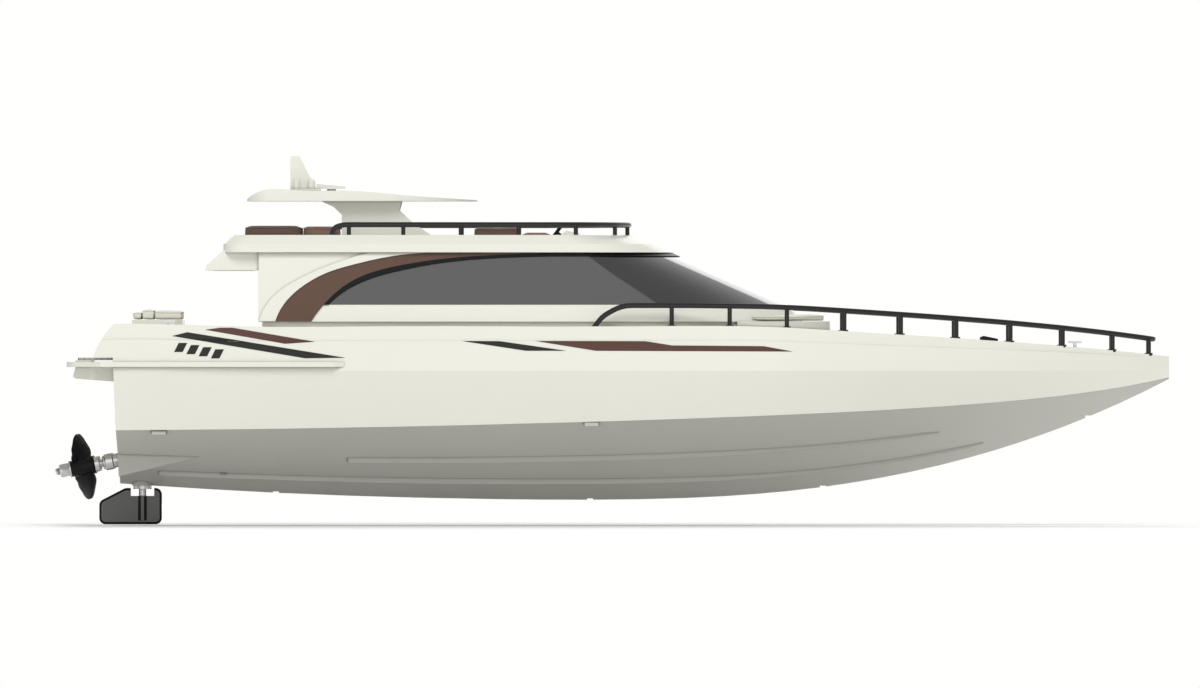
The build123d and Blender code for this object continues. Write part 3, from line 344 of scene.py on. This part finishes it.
def finish(name, colour, roughness, haze=0.08, metallic=0.0, coat=0.0, radius=0.25, grain=0.05,
           grain_scale=2500.0, drift=0.05, drift_scale=30.0, edge_light=0.12, bump=0.2, shine=0.5,
           painted_corner_shade=0.3):
    """A finish made from the shared effects. The radius of its soft edges is in millimetres."""
    material = bpy.data.materials.new(name)
    material.use_nodes = True
    tree = material.node_tree
    shader = tree.nodes["Principled BSDF"]
    shader.inputs["Metallic"].default_value = metallic
    shader.inputs["Coat Weight"].default_value = coat
    shader.inputs["Coat Roughness"].default_value = 0.06
    shader.inputs["Specular IOR Level"].default_value = shine
    edges = place_group(tree, SOFT_EDGES, [("Radius", radius * MM), ("Grain Scale", grain_scale),
                                           ("Grain", grain)])
    tone = place_group(tree, TONE, [("Colour", (*colour, 1)), ("Drift", drift), ("Scale", drift_scale),
                                    ("Edge", edges.outputs["Edge"]), ("Edge Light", edge_light)])
    # Shade is painted into the colour in tight corners, with a little dust.
    shaded = place_group(tree, CORNER_SHADE, [("Colour", tone.outputs[0]), ("Reach", CORNER_REACH),
                                              ("Depth", painted_corner_shade)])
    gloss = place_group(tree, GLOSS, [("Roughness", roughness), ("Haze", haze),
                                      ("Edge", edges.outputs["Edge"])])
    relief = add_node(tree, "ShaderNodeBump", [("Height", edges.outputs["Height"]), ("Strength", bump),
                                               ("Distance", GRAIN_DEEP),
                                               ("Normal", edges.outputs["Normal"])])
    tree.links.new(shaded.outputs[0], shader.inputs["Base Color"])
    tree.links.new(gloss.outputs[0], shader.inputs["Roughness"])
    tree.links.new(relief.outputs[0], shader.inputs["Normal"])
    return material


IVORY = (0.72, 0.717, 0.645)
WARM_GREY = (0.48, 0.475, 0.43)
BROWN = (0.098, 0.050, 0.033)

ivory = finish("ivory_gelcoat", IVORY, 0.26, coat=0.35, drift=0.03, edge_light=0.04)
# The grey bottom gets the deepest painted corner shade: dark lines at the seam and along the spray rails.
warm_grey = finish("grey_bottom", WARM_GREY, 0.34, drift=0.06, grain=0.2, edge_light=0.10,
                   painted_corner_shade=0.8)
brown = finish("brown_trim", BROWN, 0.38, drift=0.12, edge_light=0.35)
black = finish("black_trim", (0.006, 0.006, 0.006), 0.30, drift=0.2, edge_light=0.9, shine=0.2)
nylon = finish("black_nylon", (0.005, 0.005, 0.006), 0.34, grain=0.6, grain_scale=900, bump=0.5,
               drift=0.25, edge_light=1.2, shine=0.15)
foam = finish("white_foam", (0.82, 0.83, 0.83), 0.8, grain=1.0, grain_scale=700, bump=2.0, radius=0.6)
wrap = finish("pack_wrap", (0.035, 0.12, 0.36), 0.22, drift=0.15, radius=0.8)
silicone = finish("silicone_seal", (0.74, 0.735, 0.66), 0.55, grain=0.5, grain_scale=1500, bump=1.0)
print("moulded finishes ready")

# %% [markdown]
# ## Facing masks
# Two mouldings change with the way a face looks. Decks have a fine anti-slip stipple on top only, and the
# rudder's flat sides are painted lighter than its bevelled edges: a painted highlight for the light those
# sides catch. The object's own normal tells them apart, so the pattern turns with the piece.

# %% facing masks
FACES_AXIS, FACES_FADE = 0.97, 0.02  # how squarely a face has to look along an axis, and the soft limit


def facing(tree, axis):
    """A mask that is 1 where a face looks along an axis, either way."""
    place = add_node(tree, "ShaderNodeTexCoord")
    split = add_node(tree, "ShaderNodeSeparateXYZ", [(0, place.outputs["Normal"])])
    size = add_node(tree, "ShaderNodeMath", [(0, split.outputs[axis])], operation="ABSOLUTE")
    mask = add_node(tree, "ShaderNodeMapRange", [("Value", size.outputs[0]),
                                                 ("From Min", FACES_AXIS - FACES_FADE),
                                                 ("From Max", FACES_AXIS), ("To Min", 0.0), ("To Max", 1.0)])
    return mask.outputs[0], place


def add_stipple(material, scale, height):
    """Small raised dots on the faces that look up."""
    tree = material.node_tree
    shader = tree.nodes["Principled BSDF"]
    before = shader.inputs["Normal"].links[0].from_socket
    mask, place = facing(tree, "Z")
    dots = add_node(tree, "ShaderNodeTexVoronoi", [("Vector", place.outputs["Object"]), ("Scale", scale)])
    raised = add_node(tree, "ShaderNodeMapRange", [("Value", dots.outputs["Distance"]), ("From Min", 0.2),
                                                   ("From Max", 0.45), ("To Min", 1.0), ("To Max", 0.0)])
    only_top = add_node(tree, "ShaderNodeMath", [(0, raised.outputs[0]), (1, mask)], operation="MULTIPLY")
    relief = add_node(tree, "ShaderNodeBump", [("Height", only_top.outputs[0]), ("Strength", 0.5),
                                               ("Distance", height), ("Normal", before)])
    tree.links.new(relief.outputs[0], shader.inputs["Normal"])


def paint_highlight_on_facing(material, axis, colour):
    """A painted highlight: a lighter colour on the faces that look along an axis."""
    tree = material.node_tree
    shader = tree.nodes["Principled BSDF"]
    before = shader.inputs["Base Color"].links[0].from_socket
    mask, _ = facing(tree, axis)
    mixed = add_node(tree, "ShaderNodeMixRGB", [("Fac", mask), ("Color1", before),
                                                ("Color2", (*colour, 1))])
    tree.links.new(mixed.outputs[0], shader.inputs["Base Color"])


deck_ivory = finish("ivory_deck", IVORY, 0.28, coat=0.3, drift=0.03, edge_light=0.04)
add_stipple(deck_ivory, scale=1500.0, height=0.06 * MM)
rudder_black = finish("rudder_black", (0.005, 0.005, 0.005), 0.30, drift=0.2, edge_light=0.9,
                      shine=0.15)
# The rudder's flat sides get a painted highlight, a lighter grey than its black edges.
paint_highlight_on_facing(rudder_black, "Y", (0.17, 0.17, 0.17))
print("deck and rudder finishes ready")

# %% [markdown]
# ## Metals
# Shafts, nuts and couplings are turned parts with a fine tooled grain, which dulls their reflections a
# little. Rings round each axis would be truer, but at a few millimetres they can't be told from a fine even
# grain. The rails are bent wire with a dark satin paint, and the motor cans are plated and nearly plain.

# %% metals
rail_paint = finish("rail_paint", (0.012, 0.012, 0.012), 0.25, radius=0.2, edge_light=1.2, drift=0.2,
                    shine=0.4)
steel = finish("turned_steel", (0.63, 0.62, 0.61), 0.22, metallic=1.0, grain=0.8, grain_scale=1800, bump=0.8,
               radius=0.12, edge_light=0.3)
chrome = finish("polished_fittings", (0.8, 0.8, 0.82), 0.08, metallic=1.0, radius=0.15)
brass = finish("turned_brass", (0.78, 0.56, 0.25), 0.24, metallic=1.0, grain=0.8, grain_scale=1800, bump=0.8,
               radius=0.15, edge_light=0.3)
can = finish("plated_can", (0.5, 0.5, 0.51), 0.3, metallic=1.0, grain=0.4, bump=0.5, radius=0.4)
print("metals ready")

# %% [markdown]
# ## Window
# The windows are one dark wrap-around moulding. Real glass would need a finished cabin behind it, but this
# is smoked plastic, nearly opaque. What makes it look like glass is a mirror-smooth coat: seen square it
# stays dark, and seen at a glance it fills with light.

# %% window
window = finish("smoked_window", (0.026, 0.026, 0.027), 0.05, haze=0.03, coat=1.0, drift=0.03, radius=0.3,
                edge_light=0.1)
window.node_tree.nodes["Principled BSDF"].inputs["IOR"].default_value = 1.5
print("window ready")

# %% [markdown]
# ## Planked platform
# The swim platform is covered with pale foam decking, the kind that imitates laid planks. The planks run
# from side to side with darker lines between them. Dividing the length by a plank's width and keeping the
# fraction gives the lines, and a noise stretched along the planks gives the foam its brushed grain.

# %% foam decking
PLANK_LIGHT, PLANK_DARK, PLANK_LINE = (0.50, 0.49, 0.44), (0.36, 0.35, 0.31), (0.07, 0.068, 0.06)
GRAIN_ALONG_PLANK = (1400.0, 60.0, 60.0)


def decking_material(plank_width):
    """Planks across the boat, with a brushed grain and a dark line between each two."""
    material = finish("foam_decking", PLANK_LIGHT, 0.6, drift=0.12, grain=0.4, bump=0.5)
    tree = material.node_tree
    shader = tree.nodes["Principled BSDF"]
    place = add_node(tree, "ShaderNodeTexCoord")
    split = add_node(tree, "ShaderNodeSeparateXYZ", [(0, place.outputs["Object"])])
    step = add_node(tree, "ShaderNodeMath", [(0, split.outputs["X"]), (1, plank_width)], operation="DIVIDE")
    part = add_node(tree, "ShaderNodeMath", [(0, step.outputs[0])], operation="FRACT")
    line = add_node(tree, "ShaderNodeMapRange", [("Value", part.outputs[0]), ("From Min", 0.90),
                                                 ("From Max", 0.93), ("To Min", 0.0), ("To Max", 1.0)])
    stretch = add_node(tree, "ShaderNodeMapping", [("Vector", place.outputs["Object"]),
                                                   ("Scale", GRAIN_ALONG_PLANK)])
    figure = add_node(tree, "ShaderNodeTexNoise", [("Vector", stretch.outputs[0]), ("Scale", 1.0),
                                                   ("Detail", 4.0)])
    before = shader.inputs["Base Color"].links[0].from_socket
    grained = add_node(tree, "ShaderNodeMixRGB", [("Fac", figure.outputs["Fac"]), ("Color1", before),
                                                  ("Color2", (*PLANK_DARK, 1))])
    lined = add_node(tree, "ShaderNodeMixRGB", [("Fac", line.outputs[0]), ("Color1", grained.outputs[0]),
                                                ("Color2", (*PLANK_LINE, 1))])
    tree.links.new(lined.outputs[0], shader.inputs["Base Color"])
    return material


decking = decking_material(plank_width=2.35 * MM)
print("decking ready")

# %% [markdown]
# ## Wires
# The motor leads come in pairs, red and black, in soft silicone. They are separate tubes of one node, so
# one material has to hold both colours. Blender gives every loose tube of a mesh a random number of its
# own, the same each time, and a step in that number picks the colour. The servo's lead is one brown tube.

# %% wires
lead_red = finish("lead_red_black", (0.42, 0.02, 0.018), 0.45, radius=0.2, drift=0.1, grain=0.3)
lead_brown = finish("lead_brown", (0.10, 0.07, 0.05), 0.45, radius=0.2, drift=0.1, grain=0.3)


def two_colours(material, other):
    """About half of a node's loose tubes take another colour."""
    tree = material.node_tree
    shader = tree.nodes["Principled BSDF"]
    before = shader.inputs["Base Color"].links[0].from_socket
    island = add_node(tree, "ShaderNodeNewGeometry")
    pick = add_node(tree, "ShaderNodeMath", [(0, island.outputs["Random Per Island"]), (1, 0.5)],
                    operation="GREATER_THAN")
    mixed = add_node(tree, "ShaderNodeMixRGB", [("Fac", pick.outputs[0]), ("Color1", before),
                                                ("Color2", (*other, 1))])
    tree.links.new(mixed.outputs[0], shader.inputs["Base Color"])


two_colours(lead_red, (0.012, 0.012, 0.012))
print("wires ready")

# %% [markdown]
# ## Finishes onto the solids
# Each solid keeps its shape and only changes its material slots. A table from finish to solids says at a
# glance which pieces look alike, and shows which ones are still plain: they are padded pieces, made next.

# %% assign finishes
FINISHES = {
    deck_ivory: ["upper_hull", "swim_platform", "flybridge_deck"],
    ivory: ["platform_bracket", "sunpad_base", "cockpit_sofa", "cabin_shell", "hardtop_pylons", "hardtop",
            "mast", "mast_instruments", "helm_console"],
    rudder_black: ["rudder_blade"],
    warm_grey: ["lower_hull", "servo_mount"],
    brown: ["arch_trim"],
    black: ["window_trim", "anchor_hatch", "power_switch_knob"],
    window: ["cabin_glass", "cabin_door"],
    decking: ["platform_pad"],
    rail_paint: ["bow_rail", "flybridge_rail"],
    steel: ["mooring_cleats", "rudder_post", "rudder_bush", "rudder_pushrod", "water_sensor_pins",
            "stuffing_tubes", "starboard_prop_hardware", "port_prop_hardware", "starboard_prop_shaft",
            "port_prop_shaft", "starboard_motor_spindle", "port_motor_spindle"],
    chrome: ["hull_magnets", "cabin_magnets"],
    brass: ["starboard_coupling", "port_coupling", "tiller_arm"],
    can: ["motors"],
    nylon: ["starboard_propeller", "port_propeller", "motor_mount", "servo", "servo_horn",
            "equipment_tray", "control_box", "steering_wheel", "battery_strap"],
    wrap: ["battery_pack"],
    silicone: ["deck_gasket"],
    foam: ["bow_foam"],
    lead_red: ["power_leads"],
    lead_brown: ["servo_lead"],
}


def paint(node, material):
    """Puts one material in every slot of a solid."""
    mesh = nodes[node].data
    if not mesh.materials:
        mesh.materials.append(material)
    for i in range(len(mesh.materials)):
        mesh.materials[i] = material


for material, names in FINISHES.items():
    for node in names:
        paint(node, material)
print("still plain:", sorted(set(nodes) - {n for names in FINISHES.values() for n in names}))

# %% [markdown]
# ## Cushions
# A cushion is foam in a sewn vinyl cover: its faces are crowned, its sides pull in between the corners, and
# a cord of piping runs round the seam. A block with rounded edges never looks like that. So each cushion
# starts as a block that is a little too small, is cut into an even net, and is blown up by a cloth
# simulation until the cover is tight. Cloth behaves well at the size of real furniture, so the blocks are
# made ten times larger for it and brought back afterwards.

# %% plans of the plain cushions
SAME_LEVEL = 0.02 * MM
SAME_POINT = 0.005 * MM


def loose_parts(bm):
    """The separate solids of a mesh, as sets of vertices."""
    left = set(bm.verts)
    while left:
        part, queue = set(), [left.pop()]
        while queue:
            here = queue.pop()
            part.add(here)
            for edge in here.link_edges:
                there = edge.other_vert(here)
                if there in left:
                    left.remove(there)
                    queue.append(there)
        yield part


def outline_below(part):
    """The ordered outline of a solid's flat underside."""
    low = min(v.co.z for v in part)
    rim = {v for v in part if v.co.z < low + SAME_LEVEL}
    on_edge = [e for v in rim for e in v.link_edges if e.other_vert(v) in rim
               and any(f.normal.z > -0.9 for f in e.link_faces)]
    neighbours = {v: {e.other_vert(v) for e in on_edge if v in e.verts} for v in rim}
    first = here = min((v for v in rim if neighbours[v]), key=lambda v: (v.co.x, v.co.y))
    loop, before = [], None
    while True:
        loop.append((here.co.x, here.co.y))
        ahead = sorted((v for v in neighbours[here] if v is not before), key=lambda v: (v.co.y, v.co.x))
        before, here = here, ahead[0]
        if here is first:
            return loop


def plans_of(node):
    """Outline, lowest and highest level of each solid in a node, from the stern forward."""
    bm = bmesh.new()
    bm.from_mesh(nodes[node].data)
    bmesh.ops.remove_doubles(bm, verts=bm.verts, dist=SAME_POINT)
    plans = [(outline_below(part), min(v.co.z for v in part), max(v.co.z for v in part))
             for part in loose_parts(bm)]
    bm.free()
    return sorted(plans, key=lambda plan: min(x for x, y in plan[0]))


def box_plan(low, high):
    """The plan of a plain box, in the same form."""
    return [(low.x, low.y), (high.x, low.y), (high.x, high.y), (low.x, high.y)], low.z, high.z


SEAT_DEEP, SEAT_HIGH, SEAT_GAP = 11.2 * MM, 4.8 * MM, 0.4 * MM
helm_lo, helm_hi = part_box("helm_seat")
helm_back = box_plan(helm_lo, helm_hi - Vector((SEAT_DEEP + SEAT_GAP, 0, 0)))
helm_bench = box_plan(Vector((helm_hi.x - SEAT_DEEP, helm_lo.y, helm_lo.z)),
                      Vector((helm_hi.x, helm_hi.y, helm_lo.z + SEAT_HIGH)))
print("plans:", [len(plan[0]) for plan in plans_of("sofa_cushions") + plans_of("foredeck_sunpad")])

# %% [markdown]
# ### Vinyl
# Marine vinyl has a shallow leather print and fine creases. Modelled print would need millions of faces, so
# it is relief in the material: small cells whose borders sink in, with a slower noise for the creases.

# %% vinyl
VINYL_CELLS = 1400.0  # cells to the metre
VINYL_DEEP = 0.08 * MM


def make_vinyl_grain():
    """The height of a leather print with creases."""
    group, given, result = new_group("vinyl_grain", [("Scale", "value", VINYL_CELLS),
                                                     ("Crease", "value", 0.3)],
                                     [("Height", "value", None)])
    place = add_node(group, "ShaderNodeTexCoord")
    cells = add_node(group, "ShaderNodeTexVoronoi", [("Vector", place.outputs["Object"]),
                                                     ("Scale", given.outputs["Scale"])],
                     feature="DISTANCE_TO_EDGE")
    border = add_node(group, "ShaderNodeMapRange", [("Value", cells.outputs["Distance"]), ("From Min", 0.0),
                                                    ("From Max", 0.12), ("To Min", 0.0), ("To Max", 1.0)])
    crease = add_node(group, "ShaderNodeTexNoise", [("Vector", place.outputs["Object"]), ("Scale", 260.0),
                                                    ("Detail", 3.0), ("Distortion", 0.8)])
    soft = add_node(group, "ShaderNodeMath", [(0, crease.outputs["Fac"]), (1, given.outputs["Crease"])],
                    operation="MULTIPLY")
    both = add_node(group, "ShaderNodeMath", [(0, border.outputs[0]), (1, soft.outputs[0])], operation="ADD")
    group.links.new(both.outputs[0], result.inputs["Height"])
    return group


VINYL = make_vinyl_grain()


def vinyl(name, colour):
    """A moulded finish with the leather print and a little sheen."""
    material = finish(name, colour, 0.46, haze=0.12, drift=0.10, drift_scale=90, edge_light=0.25,
                      radius=0.3)
    tree = material.node_tree
    shader = tree.nodes["Principled BSDF"]
    before = shader.inputs["Normal"].links[0].from_socket
    grain = place_group(tree, VINYL, [("Scale", VINYL_CELLS), ("Crease", 0.8)])
    relief = add_node(tree, "ShaderNodeBump", [("Height", grain.outputs[0]), ("Strength", 0.35),
                                               ("Distance", VINYL_DEEP), ("Normal", before)])
    tree.links.new(relief.outputs[0], shader.inputs["Normal"])
    shader.inputs["Sheen Weight"].default_value = 0.15
    return material


ivory_vinyl = vinyl("ivory_vinyl", (0.70, 0.69, 0.60))
dark_vinyl = vinyl("brown_vinyl", (0.105, 0.062, 0.046))
light_vinyl = vinyl("tan_vinyl", (0.17, 0.105, 0.08))
print("vinyl ready")

# %% [markdown]
# ### Blocks and net
# The plan is drawn a hair smaller, raised to a block and remeshed. A plain subdivision would keep the
# block's long triangles, while remeshing gives small even squares, which cloth needs to bulge smoothly.

# %% cushion blocks
SIM_SCALE = 10.0
NET = 0.7 * MM
TIGHT = 0.35 * MM  # how much smaller than its space a cushion starts
SWELL = 0.55 * MM  # the most that the cover may move
BED = 0.35  # the share of a cushion's height that its own weight presses flat against its bed


def object_from(bm, name, material):
    """A new piece from a finished mesh."""
    mesh = bpy.data.meshes.new(name)
    bm.to_mesh(mesh)
    bm.free()
    made = bpy.data.objects.new(name, mesh)
    bpy.context.scene.collection.objects.link(made)
    mesh.materials.append(material)
    return made


def applied(thing):
    """Bakes a piece's modifiers into its mesh."""
    graph = bpy.context.evaluated_depsgraph_get()
    graph.update()
    baked = bpy.data.meshes.new_from_object(thing.evaluated_get(graph))
    thing.modifiers.clear()
    thing.data = baked
    return thing


def cushion_block(name, plan, material):
    """A closed block over a plan, ten times its size, in an even net."""
    points, low, high = plan
    bm = bmesh.new()
    face = bm.faces.new([bm.verts.new((x * SIM_SCALE, y * SIM_SCALE, (low + TIGHT) * SIM_SCALE))
                         for x, y in points])
    ring = bmesh.ops.inset_region(bm, faces=[face], thickness=TIGHT * SIM_SCALE, use_even_offset=True)
    bmesh.ops.delete(bm, geom=ring["faces"], context="FACES")
    lifted = bmesh.ops.extrude_face_region(bm, geom=[face])
    rise = (high - low - 2.5 * TIGHT) * SIM_SCALE
    tops = [v for v in lifted["geom"] if isinstance(v, bmesh.types.BMVert)]
    bmesh.ops.translate(bm, vec=(0, 0, rise), verts=tops)
    bmesh.ops.recalc_face_normals(bm, faces=bm.faces)
    block = object_from(bm, name, material)
    net = block.modifiers.new("net", "REMESH")
    net.mode, net.voxel_size = "VOXEL", NET * SIM_SCALE
    ease = block.modifiers.new("ease", "SMOOTH")
    ease.factor, ease.iterations = 0.5, 3
    return applied(block)


sofa = plans_of("sofa_cushions")
fly = plans_of("flybridge_sunpad")
ON_HULL, ON_CABIN = ("hull", "cushion_ivory"), ("cabin_top", "cushion_brown")
CUSHIONS = {  # piece: plan, cover, the solid it stands for, and the body and colour slot it goes with
    "foredeck_cushion": (plans_of("foredeck_sunpad")[0], ivory_vinyl, "foredeck_sunpad", ON_HULL),
    "sofa_back_rest": (sofa[0], ivory_vinyl, "sofa_cushions", ON_HULL),
    "sofa_bolster": (sofa[1], ivory_vinyl, "sofa_cushions", ON_HULL),
    "sofa_seat_pad": (sofa[2], ivory_vinyl, "sofa_cushions", ON_HULL),
    "fly_sunpad_aft": (fly[0], dark_vinyl, "flybridge_sunpad", ON_CABIN),
    "fly_sunpad_fore": (fly[1], light_vinyl, "flybridge_sunpad", ON_CABIN),
    "helm_back_rest": (helm_back, dark_vinyl, "helm_seat", ON_CABIN),
    "helm_seat_pad": (helm_bench, light_vinyl, "helm_seat", ON_CABIN),
}
covers = {name: cushion_block(name, plan, cover) for name, (plan, cover, *_) in CUSHIONS.items()}
print("net sizes:", {name: len(cover.data.vertices) for name, cover in covers.items()})

# %% [markdown]
# ### Blowing up the covers
# Air pressure does what the foam does. All the covers are filled at once, with no gravity, over twenty
# frames. No point may travel further than the foam would push it, and nothing goes below the cushion's
# bed: the lowest part of each cover is pressed towards it, so that the cushion lies and doesn't hover.

# %% cushion simulation
PRESSURE = 4.0
FILL_FRAMES = 20
PRESS_POWER = 1.5  # how sharply the underside turns flat
TOP_SLACK = 0.2 * MM  # how far a crown may stand over its space


def add_cloth(cover):
    """Cloth that is blown up from inside and weighs nothing."""
    cloth = cover.modifiers.new("cloth", "CLOTH")
    cloth.settings.use_pressure = True
    cloth.settings.uniform_pressure_force = PRESSURE
    cloth.settings.quality = 4
    cloth.settings.effector_weights.gravity = 0.0
    cloth.collision_settings.use_collision = False
    cloth.point_cache.frame_start, cloth.point_cache.frame_end = 1, FILL_FRAMES


def fill_covers(covers):
    """Where every point of every cover ends up once it is full."""
    for cover in covers:
        add_cloth(cover)
    for step in range(1, FILL_FRAMES + 1):
        bpy.context.scene.frame_set(step)
    graph = bpy.context.evaluated_depsgraph_get()
    filled = {}
    for cover in covers:
        filled[cover] = [v.co.copy() for v in cover.evaluated_get(graph).data.vertices]
        cover.modifiers.clear()
    bpy.context.scene.frame_set(1)
    return filled


def settle(cover, filled, plan):
    """Moves the cover to its filled shape, as far as the foam allows, at the boat's own scale."""
    low, high = plan[1], plan[2]
    for vertex, target in zip(cover.data.vertices, filled):
        push = target - vertex.co
        reach = SWELL * SIM_SCALE
        if push.length > reach:
            push *= reach / push.length
        spot = (vertex.co + push) / SIM_SCALE
        above = max(spot.z - low, 0.0)
        pressed = BED * (high - low)
        if above < pressed:
            above *= (above / pressed) ** PRESS_POWER
        spot.z = min(low + above, high + TOP_SLACK)
        vertex.co = spot


filled = fill_covers(list(covers.values()))
for name, cover in covers.items():
    settle(cover, filled[cover], CUSHIONS[name][0])
print("covers filled:", len(filled))

# %% [markdown]
# ### Channels and piping
# Sewn channels pull the cover down in straight lines. A seam is finer than the net, so it can't be
# simulated: the points near a line are moved down, and the rest stays crowned. The piping is a thin cord
# laid on the cover wherever it is nearest to the seam's outline.

# %% channels and piping
CHANNEL_DEEP, CHANNEL_WIDE, CHANNELS = 0.42 * MM, 0.5 * MM, 5
CHANNEL_FROM = 0.35  # channels show from this share of the height upwards
PIPING_R, PIPING_STEP = 0.26 * MM, 1.2 * MM
SEAM_BELOW_TOP = 0.5 * MM
PIPING_PROUD = 0.3  # the share of its radius that the cord stands off the cover


def sew_channels(cover, lines):
    """Sinks the top of a cover along fore-and-aft lines, which are given by their distance to port."""
    top = max(v.co.z for v in cover.data.vertices)
    bottom = min(v.co.z for v in cover.data.vertices)
    for vertex in cover.data.vertices:
        near = min(abs(vertex.co.y - line) for line in lines)
        if vertex.co.z > bottom + CHANNEL_FROM * (top - bottom):
            vertex.co.z -= CHANNEL_DEEP * math.exp(-(near / CHANNEL_WIDE) ** 2)


def even_points(outline, spacing):
    """Points at even steps round a closed outline."""
    points = []
    for (x0, y0), (x1, y1) in zip(outline, outline[1:] + outline[:1]):
        steps = max(1, round(math.hypot(x1 - x0, y1 - y0) / spacing))
        points += [(x0 + (x1 - x0) * i / steps, y0 + (y1 - y0) * i / steps) for i in range(steps)]
    return points


def piping(name, cover, plan, material):
    """A cord round the upper seam of a cushion."""
    mesh = cover.data
    tree = BVHTree.FromPolygons([v.co for v in mesh.vertices], [p.vertices for p in mesh.polygons])
    route = []
    for x, y in even_points(plan[0], PIPING_STEP):
        spot, normal, _, _ = tree.find_nearest((x, y, plan[2] - SEAM_BELOW_TOP))
        route.append(spot + normal * PIPING_R * PIPING_PROUD)
    curve = bpy.data.curves.new(name, "CURVE")
    curve.dimensions, curve.bevel_depth, curve.bevel_resolution = "3D", PIPING_R, 2
    spline = curve.splines.new("NURBS")
    spline.points.add(len(route) - 1)
    for point, spot in zip(spline.points, route):
        point.co = (*spot, 1)
    spline.order_u, spline.use_cyclic_u = 3, True
    cord = bpy.data.objects.new(name, curve)
    bpy.context.scene.collection.objects.link(cord)
    curve.materials.append(material)
    return cord


def spread(low, high, count):
    """Lines that divide a length evenly, without its ends."""
    return [low + (high - low) * i / (count + 1) for i in range(1, count + 1)]


for name, cover in covers.items():
    plan, material, solid, (body, slot) = CUSHIONS[name]
    ys = [y for x, y in plan[0]]
    sew_channels(cover, spread(min(ys), max(ys), CHANNELS))
    divide = cover.modifiers.new("finer", "SUBSURF")
    divide.levels = divide.render_levels = 1
    applied(cover)
    for polygon in cover.data.polygons:
        polygon.use_smooth = True
    cord = piping(name + "_piping", cover, plan, material)
    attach(cover, body)
    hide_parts(solid)
    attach(cord, body)
print("cushions:", sorted(covers))

# %% [markdown]
# ## Stickers
# The flashes on the topsides are printed film, with a row of plain slanted bars on each quarter. They could
# be painted by a mask, but film has an edge that catches the light. It follows every crease of the hull, so
# a flat shape is cut into a fine net, thrown sideways onto the moulding and given the film's thickness.

# %% stickers
film_black = finish("film_black", (0.016, 0.018, 0.015), 0.26, drift=0.15, edge_light=0.2, shine=0.3)
film_brown = finish("film_brown", (0.090, 0.042, 0.032), 0.26, drift=0.12, edge_light=0.2, shine=0.3)
FILM = 0.09 * MM
FILM_LIFT = 0.4  # the share of its thickness that a film stands off the hull
NET_X, NET_Z = 3.0 * MM, 0.7 * MM
CLEAR_OF_HULL = 0.2  # metres to the side, where the film is thrown from
hull_lo, hull_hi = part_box("upper_hull")
hull_mesh = nodes["upper_hull"].data
hull_tree = BVHTree.FromPolygons([v.co for v in hull_mesh.vertices],
                                 [p.vertices for p in hull_mesh.polygons])


def cut_across(bm, normal, low, high, spacing):
    """Parallel cuts through a flat shape."""
    for i in range(1, math.ceil((high - low) / spacing)):
        cut = low + i * spacing
        bmesh.ops.bisect_plane(bm, geom=bm.verts[:] + bm.edges[:] + bm.faces[:], plane_no=normal,
                               plane_co=[cut * axis for axis in normal])


def sticker(name, points, material):
    """A film on both sides of the hull. Points are distances forward of the stern and below the deck."""
    flat = [(hull_lo.x + ahead * MM, hull_hi.z - below * MM) for ahead, below in points]
    xs, zs = [x for x, z in flat], [z for x, z in flat]
    for side, side_name in zip(SIDES, ("starboard", "port")):
        bm = bmesh.new()
        bm.faces.new([bm.verts.new((x, 0, z)) for x, z in flat])
        cut_across(bm, (1, 0, 0), min(xs), max(xs), NET_X)
        cut_across(bm, (0, 0, 1), min(zs), max(zs), NET_Z)
        for vertex in bm.verts:
            start = (vertex.co.x, side * CLEAR_OF_HULL, vertex.co.z)
            hit, _, _, _ = hull_tree.ray_cast(start, (0, -side, 0))
            vertex.co = hit + Vector((0, side * FILM * FILM_LIFT, 0))
        bmesh.ops.recalc_face_normals(bm, faces=bm.faces)
        if (bm.faces[:][0].normal.y > 0) != (side > 0):
            bmesh.ops.reverse_faces(bm, faces=bm.faces)
        film = object_from(bm, f"{side_name}_{name}", material)
        thick = film.modifiers.new("film", "SOLIDIFY")
        thick.thickness, thick.offset = FILM, 1.0
        applied(film)
        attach(film, "hull")


sticker("flash_aft_black", [(31.6, 4.9), (37.6, 3.4), (100.8, 13.6), (84.8, 13.8)], film_black)
sticker("flash_aft_brown", [(44.8, 2.4), (50.8, 1.6), (55.6, 1.6), (88.6, 7.2), (76.8, 8.0)], film_brown)
sticker("flash_mid_black", [(147.5, 6.9), (162.8, 7.0), (189.1, 10.8), (173.2, 10.8)], film_black)
sticker("flash_mid_brown", [(176.9, 6.9), (221.0, 7.0), (231.6, 8.7), (268.3, 9.0), (279.8, 11.1),
                            (201.2, 10.8)], film_brown)
BARS, BAR_LEFT, BAR_TOP = 4, 32.4, 7.7
BAR_WIDE, BAR_STEP, BAR_LEAN, BAR_DROP, BAR_HIGH = 3.4, 4.9, 1.8, 0.85, 3.6
for i in range(BARS):
    left, top = BAR_LEFT + i * BAR_STEP, BAR_TOP + i * BAR_DROP
    low = top + BAR_HIGH
    sticker(f"quarter_bar_{i + 1}", [(left, low), (left + BAR_LEAN, top), (left + BAR_LEAN + BAR_WIDE, top),
                                     (left + BAR_WIDE, low)], film_black)
